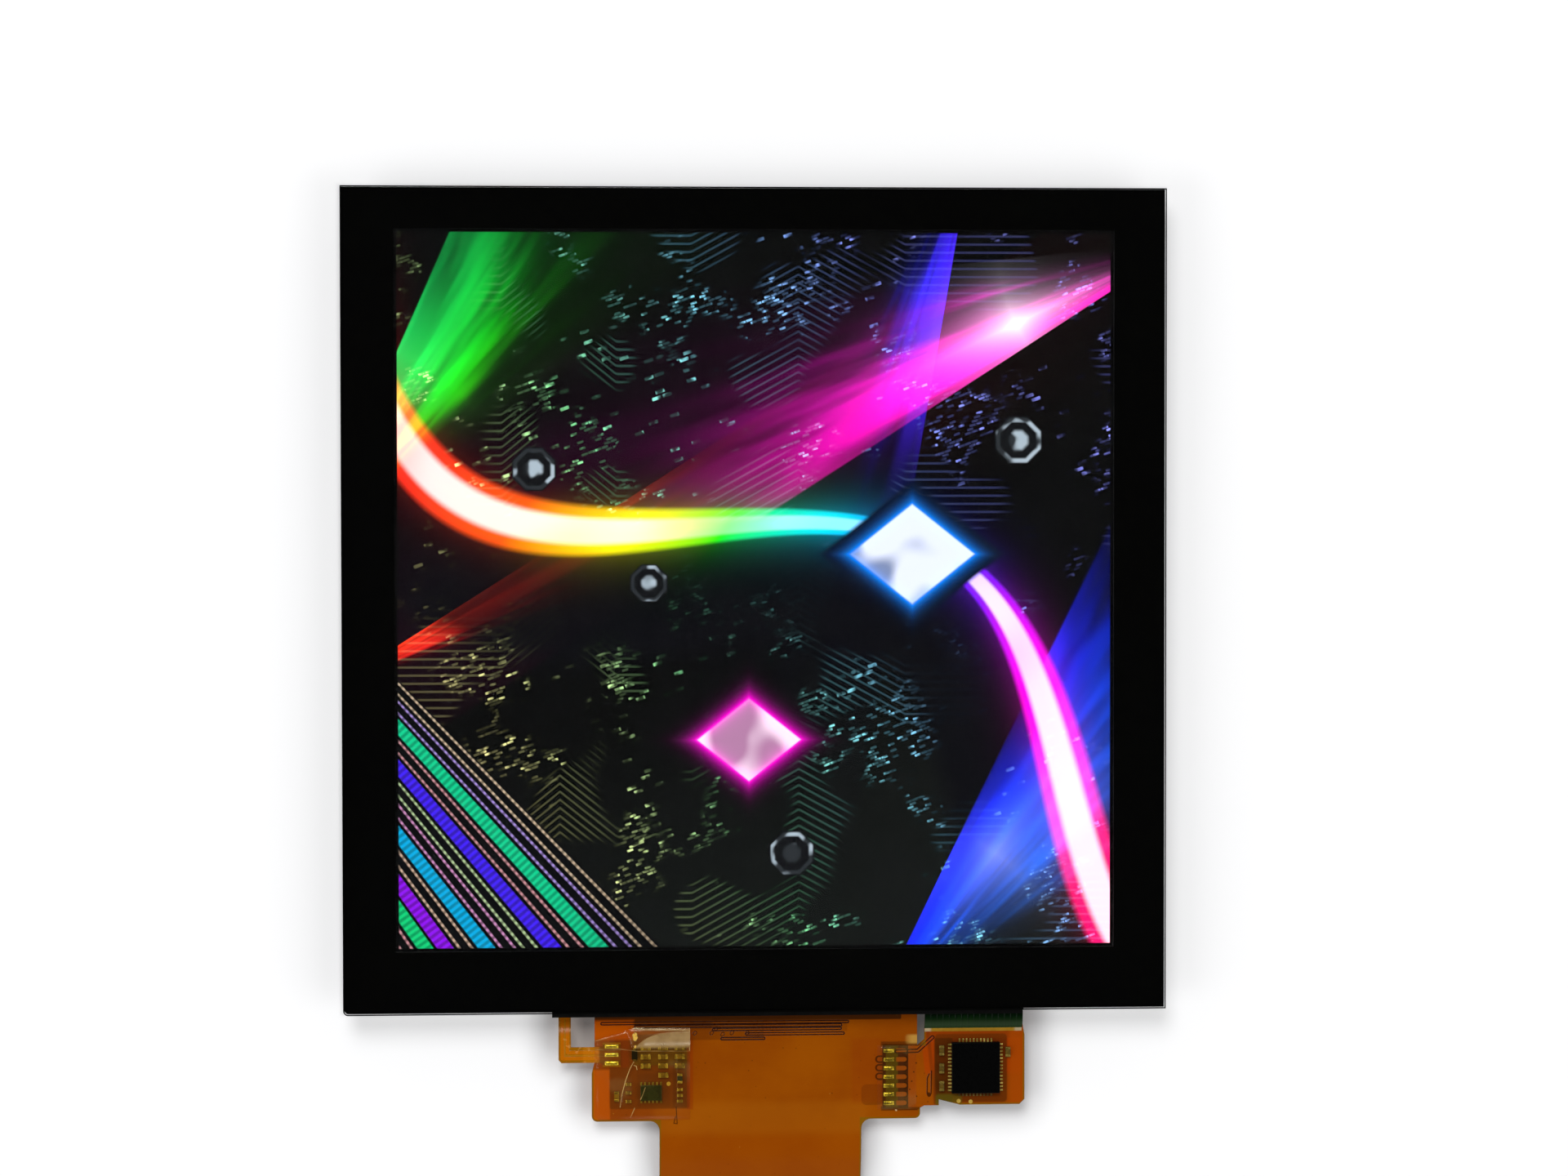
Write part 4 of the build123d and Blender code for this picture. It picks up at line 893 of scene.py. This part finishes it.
# Main flex with the two outer corners of its lobes rounded
flexCorners = {
    "radius": 0.55, "segments": 5, "near": 1, "upright": 0.001, "broad": 1,
    "places": [(-16.66, -53.8), (16.69, -53.8)],
}
flexMesh = meshOf("main_flex")
corners = []
for edge in flexMesh.edges:
    one, two = (vert.co.xy for vert in edge.verts)
    nearest = min((one - Vector(place)).length for place in flexCorners["places"])
    if (one - two).length < flexCorners["upright"] and nearest < flexCorners["near"]:
        corners.append(edge)
roundEdges(flexMesh, corners, flexCorners["radius"], flexCorners["segments"])
print("corners rounded:", len(corners))
addPiece("mainFlex", flexMesh, "main_flex", flexCorners["broad"])

# Solder
solderBead = {"across": 18, "along": 8, "crown": 0.72, "ripple": 0.1, "foot": 0.12, "waist": 0.86, "ends": 6}


def beadsOver(pieceName, nodeName, seed):
    # one reflowed bead on each joint: a crowned strip with an uneven top and ragged long sides
    chance = random.Random(seed)
    foot, waist = solderBead["foot"], solderBead["waist"]
    beads = bmesh.new()
    for low, high in islandBoxes(nodeName):
        made = bmesh.ops.create_grid(
            beads, x_segments=solderBead["across"], y_segments=solderBead["along"], size=0.5)["verts"]
        middle, size = (low + high) / 2, high - low
        swell = [chance.uniform(1 - solderBead["ripple"], 1) for column in range(solderBead["across"] + 1)]
        for vert in made:
            u, v = vert.co.x * 2, vert.co.y * 2
            column = round((vert.co.x + 0.5) * solderBead["across"])
            ending = max(0, 1 - abs(u) ** solderBead["ends"]) ** 0.5
            rise = max(0, 1 - v * v) ** solderBead["crown"] * ending * swell[column]
            narrow = waist + (1 - waist) * swell[column] * ending
            vert.co = Vector((
                middle.x + vert.co.x * size.x, middle.y + vert.co.y * size.y * narrow,
                low.z + size.z * (foot + (1 - foot) * rise)))
        faces = list(dict.fromkeys(face for vert in made for face in vert.link_faces))
        skirt = bmesh.ops.extrude_face_region(beads, geom=faces)
        for item in skirt["geom"]:
            if isinstance(item, bmesh.types.BMVert):
                item.co.z = low.z
    addPiece(pieceName, beads, nodeName)


beadsOver("backlightSolder", "led_flex_joints", 3)
beadsOver("touchSolder", "touch_flex_joints", 8)
print("solder made")

# Component tape
tape = {
    "left": -16.37, "right": -6.7, "bottom": -53.7, "top": -44.15, "thick": 0.03, "across": 150, "along": 148,
    "floor": 1.828, "clear": 0.018, "slope": 0.13, "passes": 14, "hem": 0.45, "free": 0.15, "open": 0.6,
    # a taut stretch: left, right, where it leaves the flex, where it meets the parts, rise, ramp, fall behind
    "bridge": (-12.1, -6.7, -44.8, -46.25, 0.5, 0.8, 0.5),
    # lines along which its corners are cut off
    "cuts": [((-16.37, -45.46), (-13.23, -44.55)), ((-13.23, -44.55), (-11.99, -44.15)),
             ((-11.99, -44.15), (-6.7, -44.34)), ((-15.85, -53.72), (-16.38, -53.22))],
}
obstacles = [
    "capacitor_bodies", "component_ends", "resistor_bodies", "diode", "diode_leads", "power_chip",
    "power_chip_pins", "led_flex_joints",
]
armEnd = (Vector((-20, -47.81, 1.82)), Vector((-13.73, -46.2, 1.945)))    # of the backlight flex
skin = {"slope": 6, "clear": 0.006, "foldEdge": 0.3, "foldLeast": 0.35}     # closest the tape comes to a part


def awayFrom(x, y, points):
    # plan distances from a bent line
    near = np.full(len(x), 1e3)
    for (x0, y0), (x1, y1) in zip(points, points[1:]):
        dx, dy = x1 - x0, y1 - y0
        share = np.clip(((x - x0) * dx + (y - y0) * dy) / (dx * dx + dy * dy), 0, 1)
        near = np.minimum(near, np.hypot(x - x0 - share * dx, y - y0 - share * dy))
    return near


def drape(x, y, boxes, slope, floor, clear):
    # height of a sheet that leaves each box's top at a slope
    height = np.full(len(x), floor)
    for low, high in boxes:
        across = np.maximum(np.maximum(low.x - x, x - high.x), 0)
        along = np.maximum(np.maximum(low.y - y, y - high.y), 0)
        height = np.maximum(height, high.z + clear - slope * np.hypot(across, along))
    return height


def drapedTape(name, sheet, boxes, folds, nodeName):
    # a grid laid over the parts, smoothed, creased, cut to its outline and thickened
    left, right, bottom, top = (sheet[side] for side in ("left", "right", "bottom", "top"))
    floor = sheet["floor"]
    mesh = bmesh.new()
    verts = bmesh.ops.create_grid(mesh, x_segments=sheet["across"], y_segments=sheet["along"], size=0.5)["verts"]
    x = (left + right) / 2 + np.array([vert.co.x for vert in verts]) * (right - left)
    y = (bottom + top) / 2 + np.array([vert.co.y for vert in verts]) * (top - bottom)
    height = drape(x, y, boxes, sheet["slope"], floor, sheet["clear"])
    if "bridge" in sheet:
        start, end, upper, lower, rise, ramp, fall = sheet["bridge"]
        across = np.clip(np.minimum(x - start, end + 1 - x) / ramp, 0, 1)
        climb = np.clip((upper - y) / (upper - lower), 0, 1) * (y > lower)
        climb = climb + np.clip(1 - (lower - y) / fall, 0, 1) * (y <= lower)
        height = np.maximum(height, floor + rise * climb * across)
    edge = np.minimum(np.minimum(x - left, right - x + sheet["open"]), np.minimum(y - bottom, top - y))
    held = sheet["free"] + (1 - sheet["free"]) * np.clip(edge / sheet["hem"], 0, 1)
    height = floor + (height - floor) * held
    for vert, px, py, pz in zip(verts, x, y, height):
        vert.co = (px, py, pz)
    for _ in range(sheet["passes"]):
        bmesh.ops.smooth_vert(mesh, verts=verts, factor=0.5, use_axis_z=True)
    lift = np.zeros(len(x))
    for points, rise, half, creaseGlare in folds:
        lift = np.maximum(lift, rise * np.maximum(0, 1 - awayFrom(x, y, points) / half))
    lift *= np.minimum(1, np.maximum(0, edge / skin["foldEdge"]) + skin["foldLeast"])
    least = drape(x, y, boxes, skin["slope"], floor, skin["clear"])
    for vert, rise, low in zip(verts, lift, least):
        vert.co.z = max(vert.co.z + rise, low)
    for start, end in sheet.get("cuts", ()):
        way = Vector((end[0] - start[0], end[1] - start[1], 0))
        bmesh.ops.bisect_plane(
            mesh, geom=mesh.verts[:] + mesh.edges[:] + mesh.faces[:], plane_co=Vector((*start, 0)),
            plane_no=Vector((-way.y, way.x, 0)).normalized(), clear_outer=True)
    bmesh.ops.solidify(mesh, geom=mesh.faces[:], thickness=-sheet["thick"])
    addPiece(name, mesh, nodeName)


covered = [box for nodeName in obstacles for box in islandBoxes(nodeName)]
drapedTape("componentTape", tape, covered + [armEnd], tapeFolds, "component_tape")

jointTape = {
    "left": 12.3, "right": 16.28, "bottom": -52.85, "top": -46.35, "thick": 0.03, "across": 60, "along": 96,
    "floor": 1.948, "clear": 0.014, "slope": 0.12, "passes": 8, "hem": 0.25, "free": 0.1, "open": 0,
}
jointFolds = [([(12.6, -49.9), (14.9, -50.3)], 0.012, 0.12, 0)]
drapedTape("jointTape", jointTape, islandBoxes("touch_flex_joints"), jointFolds, "joint_tape")
print("tapes made")

# Floor, lamps and camera
stage = {
    "floorSide": 30, "floorLevel": -0.00004, "floorColour": (0.8, 0.8, 0.81, 1), "grainShade": 0.99,
    "warmShade": (0.24, 0.17, 0.1, 1),
    # painted warm shade on the floor in the gaps beside the amber flex: box, softness, strength
    "warmShadeAreas": [((-19.2, -16, -46.8, -41, 0.4), 0.5), ((14.5, 18, -47.6, -41, 0.6), 0.9)],
    "seen": 0.36, "shade": 0.86, "shadeReach": 4.5,
    # under the lens and the flexes the floor's own light falls away
    "lensShade": (-41.5, 41.5, -42.5, 40.4, 0.8),
    "shaded": [(-20, 27.2, -47, -42), (-16.6, 27.2, -52.2, -42), (-9.6, 10.5, -77, -42)],
    "skyGlow": 0.8, "skySeen": 1, "skyDark": 0.015, "darkFrom": 0.2, "darkTo": 0.86,
    "middle": (0, -0.01, 0.002),
}
lamps = [
    # name, place from the middle of the module, size, watts
    ("keyLamp", (-0.22, 0.62, 0.98), 0.62, 6.4),
    ("fillLamp", (0.85, -0.4, 0.85), 0.9, 3.5),
    ("sideLamp", (-0.95, -0.35, 0.75), 0.7, 3),
]
view = {
    "eye": (-18.119, 9.731, 363.173), "turn": (-1.50683, -3.32867, -0.06749), "focal": 82.206, "sensor": 36,
    "near": 0.01, "far": 100,
}


def seenRays(paint):
    # 1 for rays from the camera, a mirror or through glass
    rays = paint.node("LightPath").outputs
    return paint.union([
        Number(paint, rays[name]) for name in ("Is Camera Ray", "Is Glossy Ray", "Is Transmission Ray")])


floorMesh = bmesh.new()
bmesh.ops.create_grid(floorMesh, x_segments=2, y_segments=2, size=stage["floorSide"] / 2)
bmesh.ops.translate(floorMesh, vec=(0, 0, stage["floorLevel"]), verts=floorMesh.verts)
floor = meshObject("floor", floorMesh)
floorPaint = Paint("floorPaper")
grainColour = tuple(part * stage["grainShade"] for part in stage["floorColour"][:3]) + (1,)
paper = floorPaint.mix(floorPaint.noise(0.02), stage["floorColour"], grainColour)
paper = patches(floorPaint, paper, [(area, share, stage["warmShade"]) for area, share in stage["warmShadeAreas"]])
matt = floorPaint.node("BsdfDiffuse", {"Color": paper}).outputs[0]
near = floorPaint.union(
    [floorPaint.box(*stage["lensShade"])]
    + [floorPaint.box(*area, stage["shadeReach"], 1) for area in stage["shaded"]])
glowing = seenRays(floorPaint) * (stage["seen"] * (1 - near * stage["shade"]))
bright = floorPaint.node("Emission", {"Color": screen["white"], "Strength": glowing}).outputs[0]
dress(floor, floorPaint.done(floorPaint.node("AddShader", {0: matt, 1: bright}).outputs[0]))

world = bpy.data.worlds.new("studio")
scene.world = world
world.use_nodes = True
sky = Paint.__new__(Paint)
sky.tree = world.node_tree
sky.tree.nodes.clear()
skyPlace = sky.node("TexCoord").outputs["Generated"]
height = Number(sky, sky.node("SeparateXYZ", {0: skyPlace}).outputs[2])
level = 1 - height.fade(stage["darkFrom"], stage["darkTo"]) * (1 - stage["skyDark"])
strength = level * (seenRays(sky) * (stage["skySeen"] - stage["skyGlow"]) + stage["skyGlow"])
background = sky.node("Background", {"Color": screen["white"], "Strength": strength}).outputs[0]
sky.node("OutputWorld", {"Surface": background})

for lampName, place, size, watts in lamps:
    data = bpy.data.lights.new(lampName, "AREA")
    data.shape, data.size, data.energy = "DISK", size, watts
    lamp = newObject(lampName, data)
    lamp.location = place
    lamp.rotation_euler = (Vector(place) - Vector(stage["middle"])).to_track_quat("Z", "Y").to_euler()

camera = newObject("camera", bpy.data.cameras.new("camera"))
camera.location = Vector(view["eye"]) * mm
camera.rotation_euler = [math.radians(angle) for angle in view["turn"]]
camera.data.lens = view["focal"]
camera.data.sensor_width = view["sensor"]
camera.data.clip_start, camera.data.clip_end = view["near"], view["far"]
scene.camera = camera
scene.view_settings.view_transform = "Standard"
print("stage made")
